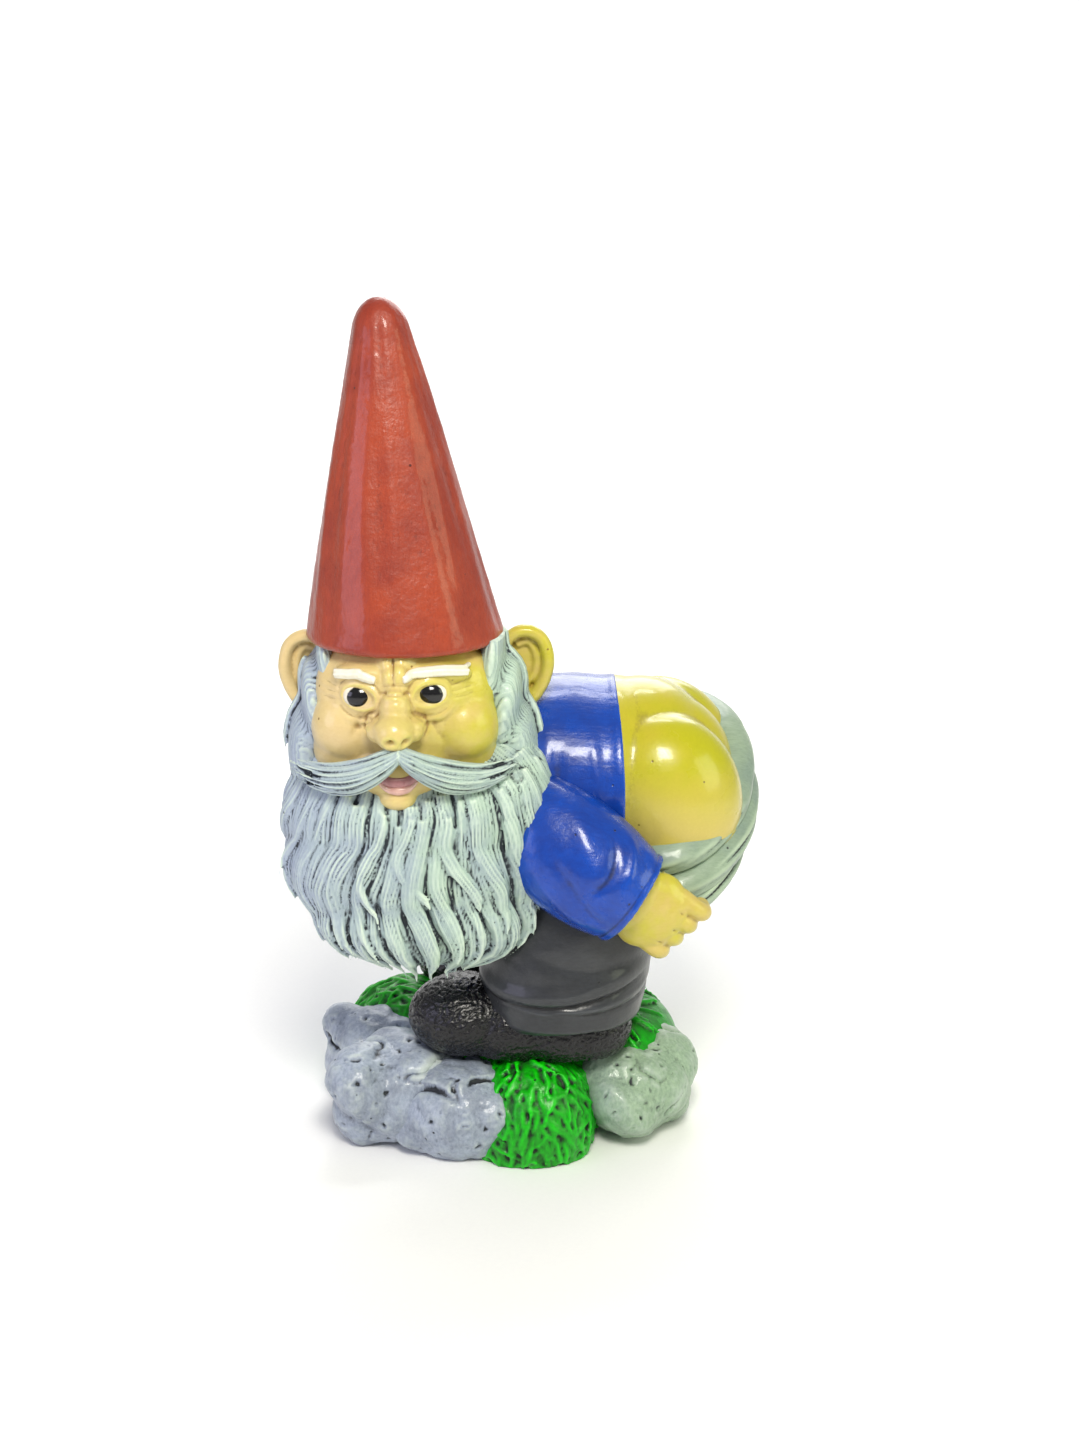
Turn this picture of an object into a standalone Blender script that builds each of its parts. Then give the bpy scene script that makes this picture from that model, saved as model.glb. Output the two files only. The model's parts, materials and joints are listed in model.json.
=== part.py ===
"""Garden gnome ornament, cast in concrete and painted: a bearded gnome in a tall red hat who bends
forward on a mound of rocks and turf, holds his trousers down and looks back at whoever passes.

The casting is modelled as its sculpted, separately painted elements. Each is a closed solid of its
own, and GAP parts it from its neighbours. Metres, +Z up, the face looks along -Y, the figure bends
towards -X, and the origin is the middle of the overall box, at the level of the ground.
"""

import math

import bmesh
import bpy
from mathutils import Vector

# ---- driving dimensions ---------------------------------------------------------------------
HEIGHT = 0.600  # ground to hat tip
HAT_LENGTH = 0.228
HAT_RADIUS = 0.0675
HAT_LEAN = 0.014  # how far the tip leans towards -X
HEAD = Vector((-0.0795, -0.0450, 0.3220))  # middle of the skull
BODY_Y = 0.005  # the figure's own middle plane, front to back of the display
HIPS = Vector((0.100, BODY_Y, 0.264))  # middle of the bare seat
HEM_X = 0.069  # where the shirt ends on the back
ROLL_TILT = (24, -2, 0)  # of the trouser rolls, in degrees about X, Y and Z
GROUND_TOP = 0.068  # the boots' soles
TROUSER_HEM = 0.094
GAP = 0.0005  # between neighbouring elements
CREASE = math.radians(40)  # edges sharper than this stay crisp

# ---- painted finishes: linear colour, roughness ----------------------------------------------
FINISHES = {
    "red_hat_paint": ((0.56, 0.062, 0.026), 0.38),
    "flesh_paint": ((0.74, 0.55, 0.17), 0.30),
    "grey_hair_paint": ((0.50, 0.56, 0.53), 0.50),
    "white_brow_paint": ((0.80, 0.78, 0.70), 0.40),
    "black_eye_paint": ((0.010, 0.010, 0.012), 0.15),
    "lip_paint": ((0.55, 0.33, 0.28), 0.40),
    "tooth_paint": ((0.55, 0.50, 0.42), 0.40),
    "blue_shirt_paint": ((0.018, 0.070, 0.42), 0.25),
    "grey_trouser_paint": ((0.15, 0.15, 0.16), 0.35),
    "black_boot_paint": ((0.006, 0.006, 0.008), 0.25),
    "grey_rock_paint": ((0.34, 0.37, 0.37), 0.45),
    "green_turf_paint": ((0.006, 0.36, 0.012), 0.40),
}


# ---- scene ----------------------------------------------------------------------------------
def fresh_collection(name):
    """An empty collection of that name, linked to the scene."""
    made = bpy.data.collections.new(name)
    bpy.context.scene.collection.children.link(made)
    return made


def clear_scene():
    """Removes whatever the file holds."""
    for old in list(bpy.data.objects):
        bpy.data.objects.remove(old, do_unlink=True)


def paint(name):
    """The Principled material of one painted finish, made once."""
    if name in bpy.data.materials:
        return bpy.data.materials[name]
    colour, roughness = FINISHES[name]
    made = bpy.data.materials.new(name)
    made.use_nodes = True
    shader = made.node_tree.nodes["Principled BSDF"]
    shader.inputs["Base Color"].default_value = (*colour, 1.0)
    shader.inputs["Roughness"].default_value = roughness
    shader.inputs["Metallic"].default_value = 0.0
    return made


def place(obj, collection):
    """Moves an object into one collection only."""
    for held in list(obj.users_collection):
        held.objects.unlink(obj)
    collection.objects.link(obj)
    return obj


def baked(obj):
    """Replaces an object's mesh by its evaluated one and drops its modifiers and its transform."""
    graph = bpy.context.evaluated_depsgraph_get()
    mesh = bpy.data.meshes.new_from_object(obj.evaluated_get(graph))
    mesh.transform(obj.matrix_world)
    obj.modifiers.clear()
    obj.data = mesh
    obj.matrix_world.identity()
    return obj


# ---- shapes ---------------------------------------------------------------------------------
def ball(centre, radii, turn=(0, 0, 0), segments=20, rings=12):
    """An ellipsoid, turned by degrees about X, Y and Z."""
    bpy.ops.mesh.primitive_uv_sphere_add(
        segments=segments,
        ring_count=rings,
        location=centre,
        rotation=[math.radians(angle) for angle in turn],
    )
    made = bpy.context.object
    made.scale = radii
    bpy.ops.object.transform_apply(location=True, rotation=True, scale=True)
    return made


def loft(sections, sides=20, power=2.0):
    """A skin over oval rings, each (centre, half width, half height), square to the line through them.

    A ring's width runs level and its height square to that. A power over 2 squares the ovals off.
    """
    centres = [Vector(section[0]) for section in sections]
    shape = bmesh.new()
    rings = []
    for i, (centre, half_width, half_height) in enumerate(sections):
        along = (centres[min(i + 1, len(centres) - 1)] - centres[max(i - 1, 0)]).normalized()
        upright = abs(along.z) > 0.6
        level = Vector((1, 0, 0)) if upright else along.cross(Vector((0, 0, 1))).normalized()
        steep = Vector((0, 1, 0)) if upright else level.cross(along)
        ring = []
        for k in range(sides):
            turn = 2 * math.pi * k / sides
            across = math.copysign(abs(math.cos(turn)) ** (2 / power), math.cos(turn))
            up = math.copysign(abs(math.sin(turn)) ** (2 / power), math.sin(turn))
            spot = centres[i] + level * across * half_width + steep * up * half_height
            ring.append(shape.verts.new(spot))
        rings.append(ring)
    for low, high in zip(rings, rings[1:]):
        for k in range(sides):
            shape.faces.new((low[k], low[k - 1], high[k - 1], high[k]))
    shape.faces.new(rings[0])
    shape.faces.new(rings[-1])
    bmesh.ops.recalc_face_normals(shape, faces=shape.faces)
    mesh = bpy.data.meshes.new("loft")
    shape.to_mesh(mesh)
    shape.free()
    made = bpy.data.objects.new("loft", mesh)
    bpy.context.scene.collection.objects.link(made)
    return made


def clay(lumps, grain, triangles, smoothing=6):
    """Lumps pressed into one body: joined, given one skin, smoothed and thinned to about that many triangles."""
    bpy.ops.object.select_all(action="DESELECT")
    for lump in lumps:
        lump.select_set(True)
    bpy.context.view_layer.objects.active = lumps[0]
    bpy.ops.object.join()
    made = bpy.context.object
    skin = made.modifiers.new("skin", "REMESH")
    skin.mode = "VOXEL"
    skin.voxel_size = grain
    soften = made.modifiers.new("soften", "SMOOTH")
    soften.factor = 0.5
    soften.iterations = smoothing
    baked(made)
    thin = made.modifiers.new("thin", "DECIMATE")
    thin.ratio = min(1.0, triangles / (2 * len(made.data.polygons)))
    return baked(made)


def trimmed(obj, point, normal):
    """Cuts a body flat at a plane and keeps the side that the normal points away from."""
    shape = bmesh.new()
    shape.from_mesh(obj.data)
    bmesh.ops.bisect_plane(
        shape,
        geom=shape.verts[:] + shape.edges[:] + shape.faces[:],
        plane_co=point,
        plane_no=normal,
        clear_outer=True,
    )
    rim = [edge for edge in shape.edges if edge.is_boundary]
    bmesh.ops.contextual_create(shape, geom=rim)
    bmesh.ops.recalc_face_normals(shape, faces=shape.faces)
    shape.to_mesh(obj.data)
    shape.free()
    return obj


def across_body(point):
    """The same spot on the figure's other side."""
    return Vector((point[0], 2 * BODY_Y - point[1], point[2]))


# ---- hat and head ---------------------------------------------------------------------------
def hat():
    """A turned cone with a rounded tip and rim, leaning a little."""
    tip_radius = 0.0205
    dome = 0.027
    rim = 0.004
    profile = []
    for k in range(6):
        turn = math.radians(90 * k / 5)
        height = HAT_LENGTH - dome + dome * math.cos(turn)
        profile.append((tip_radius * math.sin(turn), height))
    for k in range(1, 6):
        share = k / 6
        profile.append((tip_radius + (HAT_RADIUS - tip_radius) * share, (HAT_LENGTH - dome) * (1 - share)))
    profile += [(HAT_RADIUS, rim), (HAT_RADIUS - rim / 2, rim / 4), (HAT_RADIUS - rim, 0), (0, 0)]
    mesh = bpy.data.meshes.new("hat")
    points = [(radius, 0, height) for radius, height in profile]
    mesh.from_pydata(points, [(k, k + 1) for k in range(len(points) - 1)], [])
    made = bpy.data.objects.new("hat", mesh)
    bpy.context.scene.collection.objects.link(made)
    spin = made.modifiers.new("turn", "SCREW")
    spin.steps = spin.render_steps = 32
    spin.use_merge_vertices = True
    spin.merge_threshold = 0.0001
    made.location = (HEAD.x, HEAD.y - 0.002, HEIGHT - HAT_LENGTH)
    bpy.context.view_layer.update()
    baked(made)
    for vertex in made.data.vertices:
        vertex.co.x -= HAT_LEAN * (vertex.co.z - (HEIGHT - HAT_LENGTH)) / HAT_LENGTH
    return made


def head():
    """Skull, two round cheeks and the jaw behind the mouth, as one body."""
    lumps = [ball(HEAD, (0.0655, 0.066, 0.068))]
    for side in (-1, 1):
        lumps.append(ball(HEAD + Vector((side * 0.036, -0.040, -0.006)), (0.025, 0.025, 0.023)))
    lumps.append(ball(HEAD + Vector((-0.003, -0.043, -0.038)), (0.035, 0.032, 0.028)))
    return clay(lumps, 0.0035, 460)


def nose():
    """A bulb with a wing on each side and a bridge up to the brow."""
    tip = HEAD + Vector((-0.0015, -0.077, 0.009))
    lumps = [ball(tip, (0.0155, 0.0165, 0.0140))]
    for side in (-1, 1):
        lumps.append(ball(tip + Vector((side * 0.012, 0.006, -0.003)), (0.0085, 0.0105, 0.0080)))
    lumps.append(ball(tip + Vector((0, 0.013, 0.014)), (0.0085, 0.0100, 0.0180), (24, 0, 0)))
    return clay(lumps, 0.0016, 300)


def eye(side):
    """A flattened ball set in the face."""
    spot = HEAD + Vector((-0.0025 + side * 0.0252, -0.0590, 0.0255 + side * 0.0015))
    return ball(spot, (0.0088, 0.0075, 0.0072), (0, 0, side * 18), 14, 8)


def eyebrow(side):
    """A short ridge over one eye."""
    inner = HEAD + Vector((side * 0.010, -0.0635, 0.0420))
    outer = HEAD + Vector((side * 0.043, -0.0475, 0.0425))
    middle = (inner + outer) / 2 + Vector((0, -0.0050, 0.0015))
    rings = [(inner, 0.0030, 0.0022), (middle, 0.0055, 0.0042), (outer, 0.0030, 0.0018)]
    return loft(rings, 10)


def ear(side, spot, lean):
    """An upright oval plate that stands out from the side of the head, hollowed on its front."""
    plate = ball(spot, (0.0215, 0.0105, 0.0285), (0, lean, side * 14), 18, 10)
    hollow = ball(Vector(spot) + Vector((0, -0.0100, 0.001)), (0.0145, 0.0085, 0.0200), (0, lean, side * 14), 12, 8)
    scoop = plate.modifiers.new("hollow", "BOOLEAN")
    scoop.operation = "DIFFERENCE"
    scoop.object = hollow
    baked(plate)
    bpy.data.objects.remove(hollow)
    return plate


def moustache(side):
    """One half, swept from under the nose to a fine tip at the cheek."""
    reach = 0.0755 if side < 0 else 0.0765
    rings = [
        (HEAD + Vector((side * 0.0012, -0.0790, -0.0140)), 0.0090, 0.0090),
        (HEAD + Vector((side * 0.0180, -0.0770, -0.0190)), 0.0110, 0.0120),
        (HEAD + Vector((side * 0.0400, -0.0660, -0.0300)), 0.0100, 0.0120),
        (HEAD + Vector((side * 0.0620, -0.0530, -0.0340)), 0.0070, 0.0080),
        (HEAD + Vector((side * reach, -0.0440, -0.0300)), 0.0025, 0.0030),
    ]
    return loft(rings, 12)


def lower_lip():
    """A small curved roll under the mouth."""
    middle = HEAD + Vector((-0.0035, -0.0730, -0.0405))
    rings = []
    for k in range(-2, 3):
        spot = middle + Vector((k * 0.0058, 0.0016 * k * k, 0.0012 * k * k))
        rings.append((spot, 0.0050 - 0.0008 * abs(k), 0.0032 - 0.0006 * abs(k)))
    return loft(rings, 10)


def teeth():
    """The upper row, showing under the moustache."""
    return ball(HEAD + Vector((-0.0035, -0.0720, -0.0320)), (0.0120, 0.0060, 0.0045), (0, 0, 0), 14, 8)


def beard():
    """A broad shield of beard, from the cheeks down to a blunt end above the ground."""
    rings = [
        ((-0.0765, -0.060, 0.306), 0.067, 0.034),
        ((-0.0765, -0.064, 0.290), 0.083, 0.044),
        ((-0.0765, -0.070, 0.262), 0.0910, 0.050),
        ((-0.0760, -0.073, 0.225), 0.0935, 0.050),
        ((-0.0735, -0.077, 0.190), 0.0890, 0.045),
        ((-0.0690, -0.082, 0.163), 0.0760, 0.037),
        ((-0.0640, -0.086, 0.146), 0.0560, 0.027),
        ((-0.0600, -0.088, 0.138), 0.0340, 0.016),
    ]
    return loft(rings, 24, power=2.3)


def hair():
    """The hair over the back and sides of the head."""
    rings = [
        ((-0.0775, -0.018, 0.3712), 0.0645, 0.0480),
        ((-0.0770, -0.017, 0.345), 0.0760, 0.0540),
        ((-0.0765, -0.015, 0.305), 0.0870, 0.0560),
        ((-0.0765, -0.013, 0.270), 0.0860, 0.0520),
        ((-0.0765, -0.013, 0.245), 0.0700, 0.0400),
    ]
    return loft(rings, 24, power=2.5)


# ---- torso and arms -------------------------------------------------------------------------
def shirt_body():
    """The shirt over chest and back, ending in a plain hem across the back."""
    rings = [
        ((-0.070, BODY_Y, 0.256), 0.030, 0.028),
        ((-0.055, BODY_Y, 0.259), 0.052, 0.046),
        ((-0.020, BODY_Y, 0.263), 0.069, 0.062),
        ((0.025, BODY_Y, 0.264), 0.0750, 0.0665),
        ((0.055, BODY_Y, 0.262), 0.0765, 0.0675),
        ((HEM_X, BODY_Y, 0.261), 0.0775, 0.0680),
    ]
    return loft(rings, 24)


LEFT_CUFF = Vector((0.0756, -0.0940, 0.2000))
CUFF_RADIUS = 0.0325
ARM_DIRECTION = Vector((0.80, 0.0, -0.60))
FAR_ARM_LIFT = Vector((0.004, 0.0, 0.036))  # the far hand holds the waist higher


def arm_point(point, side):
    """A spot of the near arm (side -1), or the matching one on the far arm, which is held higher."""
    if side < 0:
        return Vector(point)
    share = min(1.0, max(0.0, (point[0] + 0.03) / (LEFT_CUFF.x + 0.03)))
    return across_body(point) + FAR_ARM_LIFT * share


def sleeve(side):
    """A full sleeve from the shoulder, back and down to the cuff at the hip."""
    rings = [
        (arm_point((-0.034, -0.052, 0.256), side), 0.026, 0.028),
        (arm_point((-0.012, -0.066, 0.250), side), 0.034, 0.040),
        (arm_point((0.022, -0.080, 0.234), side), 0.037, 0.042),
        (arm_point((0.050, -0.089, 0.2165), side), 0.036, 0.0415),
        (arm_point((0.067, -0.093, 0.2055), side), 0.034, 0.0365),
        (arm_point(LEFT_CUFF, side), 0.030, CUFF_RADIUS),
    ]
    return loft(rings, 18)


def hand(side):
    """A palm with four fingers that hook over the trouser waist, and a thumb."""
    level = Vector((0.60, 0.0, 0.80))  # across the palm, square to the arm
    wrist = LEFT_CUFF + ARM_DIRECTION * -0.006
    palm = LEFT_CUFF + ARM_DIRECTION * 0.016
    lumps = [
        ball(arm_point(wrist, side), (0.022, 0.020, 0.026), (0, 37, 0)),
        ball(arm_point(palm, side), (0.021, 0.014, 0.0285), (0, 37, 0)),
    ]
    for k in range(4):
        across = 0.0200 - 0.0128 * k
        root = palm + ARM_DIRECTION * 0.016 + level * across
        bent = root + ARM_DIRECTION * (0.012 - 0.0012 * k) + Vector((0, 0.008, 0))
        for spot, size in ((root, 0.0078), ((root + bent) / 2, 0.0076), (bent, 0.0070)):
            lumps.append(ball(arm_point(spot, side), (size, size * 1.1, size * 0.92), (0, 0, 0), 12, 8))
    thumb = palm + level * 0.017 + Vector((0.002, 0.013, 0.002))
    lumps.append(ball(arm_point(thumb, side), (0.014, 0.008, 0.008), (0, 37, 0), 12, 8))
    return clay(lumps, 0.0022, 420, smoothing=2)


# ---- seat, trousers and boots ---------------------------------------------------------------
def bare_seat():
    """The lower back and the two round cheeks, as one body."""
    lumps = [ball(HIPS + Vector((-0.034, 0, 0.0)), (0.044, 0.0715, 0.0650))]
    for side in (-1, 1):
        cheek = HIPS + Vector((0.003, side * 0.0365, -0.006 + side * 0.004))
        lumps.append(ball(cheek, (0.0530, 0.0400, 0.0610), (0, -18, 0)))
    return clay(lumps, 0.0042, 480)


def waist_roll(middle, half_length, half_width, thickness):
    """One roll of the pushed-down trousers: a round-edged disc that rises towards the far side."""
    rings = []
    for k in range(7):
        turn = math.radians(-60 + 20 * k)
        inset = thickness * (1 - math.cos(turn))
        rings.append(((0, 0, thickness * math.sin(turn)), half_length - inset, half_width - inset))
    made = loft(rings, 28)
    made.rotation_euler = [math.radians(angle) for angle in ROLL_TILT]
    made.location = middle
    bpy.context.view_layer.update()
    return baked(made)


def trouser_leg(side):
    """A short wide leg, from the rolls down to the hem over the boot."""
    y = BODY_Y + side * 0.0515
    rings = [
        ((0.028, y, TROUSER_HEM), 0.0520, 0.0475),
        ((0.028, y, TROUSER_HEM + 0.004), 0.0555, 0.0500),
        ((0.030, y, 0.120), 0.0580, 0.0512),
        ((0.036, y - side * 0.001, 0.150), 0.0575, 0.0500),
        ((0.044, y - side * 0.004, 0.178), 0.0560, 0.0480),
        ((0.050, y - side * 0.006, 0.205), 0.0480, 0.0420),
    ]
    return loft(rings, 20)


def boot(side):
    """A round-toed boot, flat underneath."""
    y = BODY_Y + side * 0.0560
    lumps = [
        ball((-0.0440, y - side * 0.002, 0.0930), (0.0390, 0.0350, 0.0290)),
        ball((-0.0080, y, 0.0880), (0.0420, 0.0340, 0.0300)),
        ball((0.0250, y + side * 0.001, 0.0860), (0.0420, 0.0340, 0.0280)),
        ball((0.0430, y, 0.0850), (0.0350, 0.0320, 0.0260)),
    ]
    return trimmed(clay(lumps, 0.0034, 360), (0, 0, GROUND_TOP), (0, 0, -1))


# ---- ground ---------------------------------------------------------------------------------
def turf_mound():
    """The mound under the boots; its turf runs down between the rocks in front, behind left and right."""
    rings = [
        ((-0.012, 0.002, -0.004), 0.098, 0.082),
        ((-0.012, 0.002, 0.018), 0.103, 0.086),
        ((-0.012, 0.003, 0.050), 0.102, 0.085),
        ((-0.012, 0.004, 0.066), 0.097, 0.080),
        ((-0.012, 0.004, 0.073), 0.086, 0.068),
    ]
    lumps = [
        loft(rings, 32),
        ball((0.007, -0.068, 0.016), (0.044, 0.044, 0.052)),
        ball((0.088, 0.076, 0.030), (0.034, 0.034, 0.050)),
        ball((-0.098, 0.056, 0.026), (0.040, 0.036, 0.050)),
    ]
    return trimmed(clay(lumps, 0.0045, 330), (0, 0, 0), (0, 0, -1))


# Middle, half length, half width, height, turn in degrees.
BOULDERS = {
    "boulder_front_left": ((-0.0900, -0.0500), 0.0500, 0.0450, 0.0740, 20),
    "boulder_front": ((-0.0500, -0.0790), 0.0460, 0.0350, 0.0660, -8),
    "boulder_left": ((-0.1150, 0.0020), 0.0390, 0.0420, 0.0720, 0),
    "boulder_right": ((0.0770, -0.0330), 0.0410, 0.0460, 0.0680, 28),
    "boulder_far_right": ((0.0850, 0.0300), 0.0360, 0.0340, 0.0730, -20),
    "boulder_back": ((-0.0300, 0.0830), 0.0480, 0.0340, 0.0700, 6),
    "boulder_back_right": ((0.0420, 0.0870), 0.0370, 0.0300, 0.0660, -6),
}


def boulder(middle, half_length, half_width, height, turn):
    """A lump of rock with steep sides and a low crown, flat where it meets the ground."""
    rings = []
    for share, size in ((0, 0.84), (0.2, 0.95), (0.45, 1.0), (0.70, 0.91), (0.89, 0.68), (1.0, 0.30)):
        rings.append(((0, 0, height * share), half_length * size, half_width * size))
    made = loft(rings, 18, power=2.2)
    made.rotation_euler.z = math.radians(turn)
    made.location = (*middle, 0)
    bpy.context.view_layer.update()
    return baked(made)


# ---- assembly -------------------------------------------------------------------------------
def build_blanks():
    """Every element before it is fitted to its neighbours: name to (object, finish)."""
    blanks = {
        "hat": (hat(), "red_hat_paint"),
        "head": (head(), "flesh_paint"),
        "nose": (nose(), "flesh_paint"),
        "left_ear": (ear(1, HEAD + Vector((0.0800, 0.0110, 0.0260)), 14), "flesh_paint"),
        "right_ear": (ear(-1, HEAD + Vector((-0.0680, 0.0070, 0.0235)), -12), "flesh_paint"),
        "lower_lip": (lower_lip(), "lip_paint"),
        "teeth": (teeth(), "tooth_paint"),
        "beard": (beard(), "grey_hair_paint"),
        "hair": (hair(), "grey_hair_paint"),
        "shirt_body": (shirt_body(), "blue_shirt_paint"),
        "bare_seat": (bare_seat(), "flesh_paint"),
        "turf_mound": (turf_mound(), "green_turf_paint"),
    }
    for hand_side, side in (("left", 1), ("right", -1)):
        blanks[f"{hand_side}_eye"] = (eye(side), "black_eye_paint")
        blanks[f"{hand_side}_eyebrow"] = (eyebrow(side), "white_brow_paint")
        blanks[f"{hand_side}_moustache"] = (moustache(side), "grey_hair_paint")
    for hand_side, side in (("left", -1), ("right", 1)):
        blanks[f"{hand_side}_sleeve"] = (sleeve(side), "blue_shirt_paint")
        blanks[f"{hand_side}_hand"] = (hand(side), "flesh_paint")
        blanks[f"{hand_side}_trouser_leg"] = (trouser_leg(side), "grey_trouser_paint")
        blanks[f"{hand_side}_boot"] = (boot(side), "black_boot_paint")
    rolls = {
        "upper_waist_roll": ((0.0990, 0.012, 0.2450), 0.0680, 0.0870, 0.0120),
        "middle_waist_roll": ((0.1010, 0.008, 0.2240), 0.0665, 0.0850, 0.0120),
        "lower_waist_roll": ((0.0930, 0.004, 0.2030), 0.0610, 0.0830, 0.0120),
    }
    for name, measures in rolls.items():
        blanks[name] = (waist_roll(*measures), "grey_trouser_paint")
    for name, measures in BOULDERS.items():
        blanks[name] = (boulder(*measures), "grey_rock_paint")
    return blanks


# Each element gives way to the ones after it in its row.
GIVES_WAY_TO = {
    "head": "hat nose left_ear right_ear left_eye right_eye left_eyebrow right_eyebrow "
    "left_moustache right_moustache lower_lip teeth",
    "left_eyebrow": "hat",
    "right_eyebrow": "hat",
    "left_ear": "hat",
    "right_ear": "hat",
    "right_moustache": "left_moustache nose",
    "left_moustache": "nose",
    "teeth": "left_moustache right_moustache",
    "lower_lip": "teeth",
    "beard": "head left_moustache right_moustache lower_lip teeth",
    "hair": "hat head left_ear right_ear beard left_moustache right_moustache",
    "shirt_body": "hair head beard left_ear right_ear left_sleeve right_sleeve",
    "left_sleeve": "beard hair head",
    "right_sleeve": "beard hair head",
    "left_hand": "left_sleeve",
    "right_hand": "right_sleeve",
    "bare_seat": "shirt_body left_sleeve right_sleeve left_hand right_hand",
    "upper_waist_roll": "bare_seat shirt_body left_sleeve right_sleeve left_hand right_hand",
    "middle_waist_roll": "upper_waist_roll bare_seat shirt_body left_sleeve right_sleeve left_hand right_hand",
    "lower_waist_roll": "middle_waist_roll upper_waist_roll bare_seat shirt_body left_sleeve right_sleeve "
    "left_hand right_hand",
    "left_trouser_leg": "beard shirt_body left_sleeve left_hand lower_waist_roll middle_waist_roll "
    "upper_waist_roll bare_seat",
    "right_trouser_leg": "left_trouser_leg shirt_body right_sleeve right_hand lower_waist_roll "
    "middle_waist_roll upper_waist_roll bare_seat",
    "left_boot": "left_trouser_leg right_trouser_leg",
    "right_boot": "right_trouser_leg left_trouser_leg left_boot",
    "boulder_front_left": "left_boot right_boot",
    "boulder_front": "boulder_front_left left_boot",
    "boulder_left": "boulder_front_left left_boot right_boot",
    "boulder_back": "boulder_left right_boot left_boot",
    "boulder_back_right": "boulder_back right_boot left_boot",
    "boulder_far_right": "boulder_back_right right_boot left_boot",
    "boulder_right": "boulder_far_right left_boot right_boot",
    "turf_mound": "left_boot right_boot " + " ".join(BOULDERS),
}


# Chains of cuts that the exact solver leaves open or empty.
EXACT_FAILS = {
    "turf_mound",
    "head",
    "hair",
    "beard",
    "left_sleeve",
    "right_sleeve",
    "upper_waist_roll",
    "middle_waist_roll",
    "lower_waist_roll",
    "shirt_body",
}


def cutter_for(name, blank, collection):
    """The blank, swollen evenly by the gap, for its neighbours to be cut by."""
    shape = bmesh.new()
    shape.from_mesh(blank.data)
    shape.normal_update()
    moves = [(vertex, vertex.normal * GAP * vertex.calc_shell_factor()) for vertex in shape.verts]
    for vertex, move in moves:
        vertex.co += move
    mesh = bpy.data.meshes.new("cutter_" + name)
    shape.to_mesh(mesh)
    shape.free()
    made = bpy.data.objects.new("cutter_" + name, mesh)
    collection.objects.link(made)
    made.hide_render = True
    made.display_type = "WIRE"
    return made


def without_crumbs(obj):
    """Drops the chips that the cuts left loose and keeps the largest body."""
    shape = bmesh.new()
    shape.from_mesh(obj.data)
    unseen = set(shape.verts)
    bodies = []
    while unseen:
        front = [unseen.pop()]
        body = set(front)
        while front:
            for edge in front.pop().link_edges:
                for vertex in edge.verts:
                    if vertex in unseen:
                        unseen.discard(vertex)
                        body.add(vertex)
                        front.append(vertex)
        bodies.append(body)
    bodies.sort(key=lambda body: sum(edge.calc_length() for v in body for edge in v.link_edges))
    for body in bodies[:-1]:
        bmesh.ops.delete(shape, geom=list(body), context="VERTS")
    shape.to_mesh(obj.data)
    shape.free()
    return obj


def fit_together(blanks, parts, cutters):
    """Names and paints each element, and cuts it back by the neighbours that it gives way to."""
    needed = sorted({other for row in GIVES_WAY_TO.values() for other in row.split()})
    cutter = {name: cutter_for(name, blanks[name][0], cutters) for name in needed}
    for name, (obj, finish) in blanks.items():
        place(obj, parts)
        obj.name = name
        for other in GIVES_WAY_TO.get(name, "").split():
            cut = obj.modifiers.new("clear_of_" + other, "BOOLEAN")
            cut.operation = "DIFFERENCE"
            cut.object = cutter[other]
            cut.solver = "MANIFOLD" if name in EXACT_FAILS else "EXACT"
        without_crumbs(baked(obj))
        obj.data.shade_smooth()
        obj.data.set_sharp_from_angle(angle=CREASE)
        obj.data.name = name
        obj.data.materials.clear()
        obj.data.materials.append(paint(finish))


def centre_on_origin(parts):
    """Moves the whole figure level, so that its overall box stands centred over the origin."""
    spots = [vertex.co for obj in parts.objects for vertex in obj.data.vertices]
    middle_x = (min(spot.x for spot in spots) + max(spot.x for spot in spots)) / 2
    middle_y = (min(spot.y for spot in spots) + max(spot.y for spot in spots)) / 2
    for obj in parts.objects:
        for vertex in obj.data.vertices:
            vertex.co -= Vector((middle_x, middle_y, 0))


def main():
    clear_scene()
    parts = fresh_collection("garden_gnome")
    cutters = fresh_collection("cutters")
    fit_together(build_blanks(), parts, cutters)
    centre_on_origin(parts)


main()
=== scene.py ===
# %% [markdown]
# # A painted concrete garden gnome
#
# The real thing is one casting. A sculptor pressed it up in clay, a rubber mould was taken from the
# clay, and the concrete that came out was brushed with exterior enamel, one colour after another.
# This lesson builds it the same way round: masses first, then modelled lines, then paint.

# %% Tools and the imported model
import math
import random
import json

import bpy
import numpy as np
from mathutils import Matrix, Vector, noise
from mathutils.bvhtree import BVHTree
from mathutils.kdtree import KDTree

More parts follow.
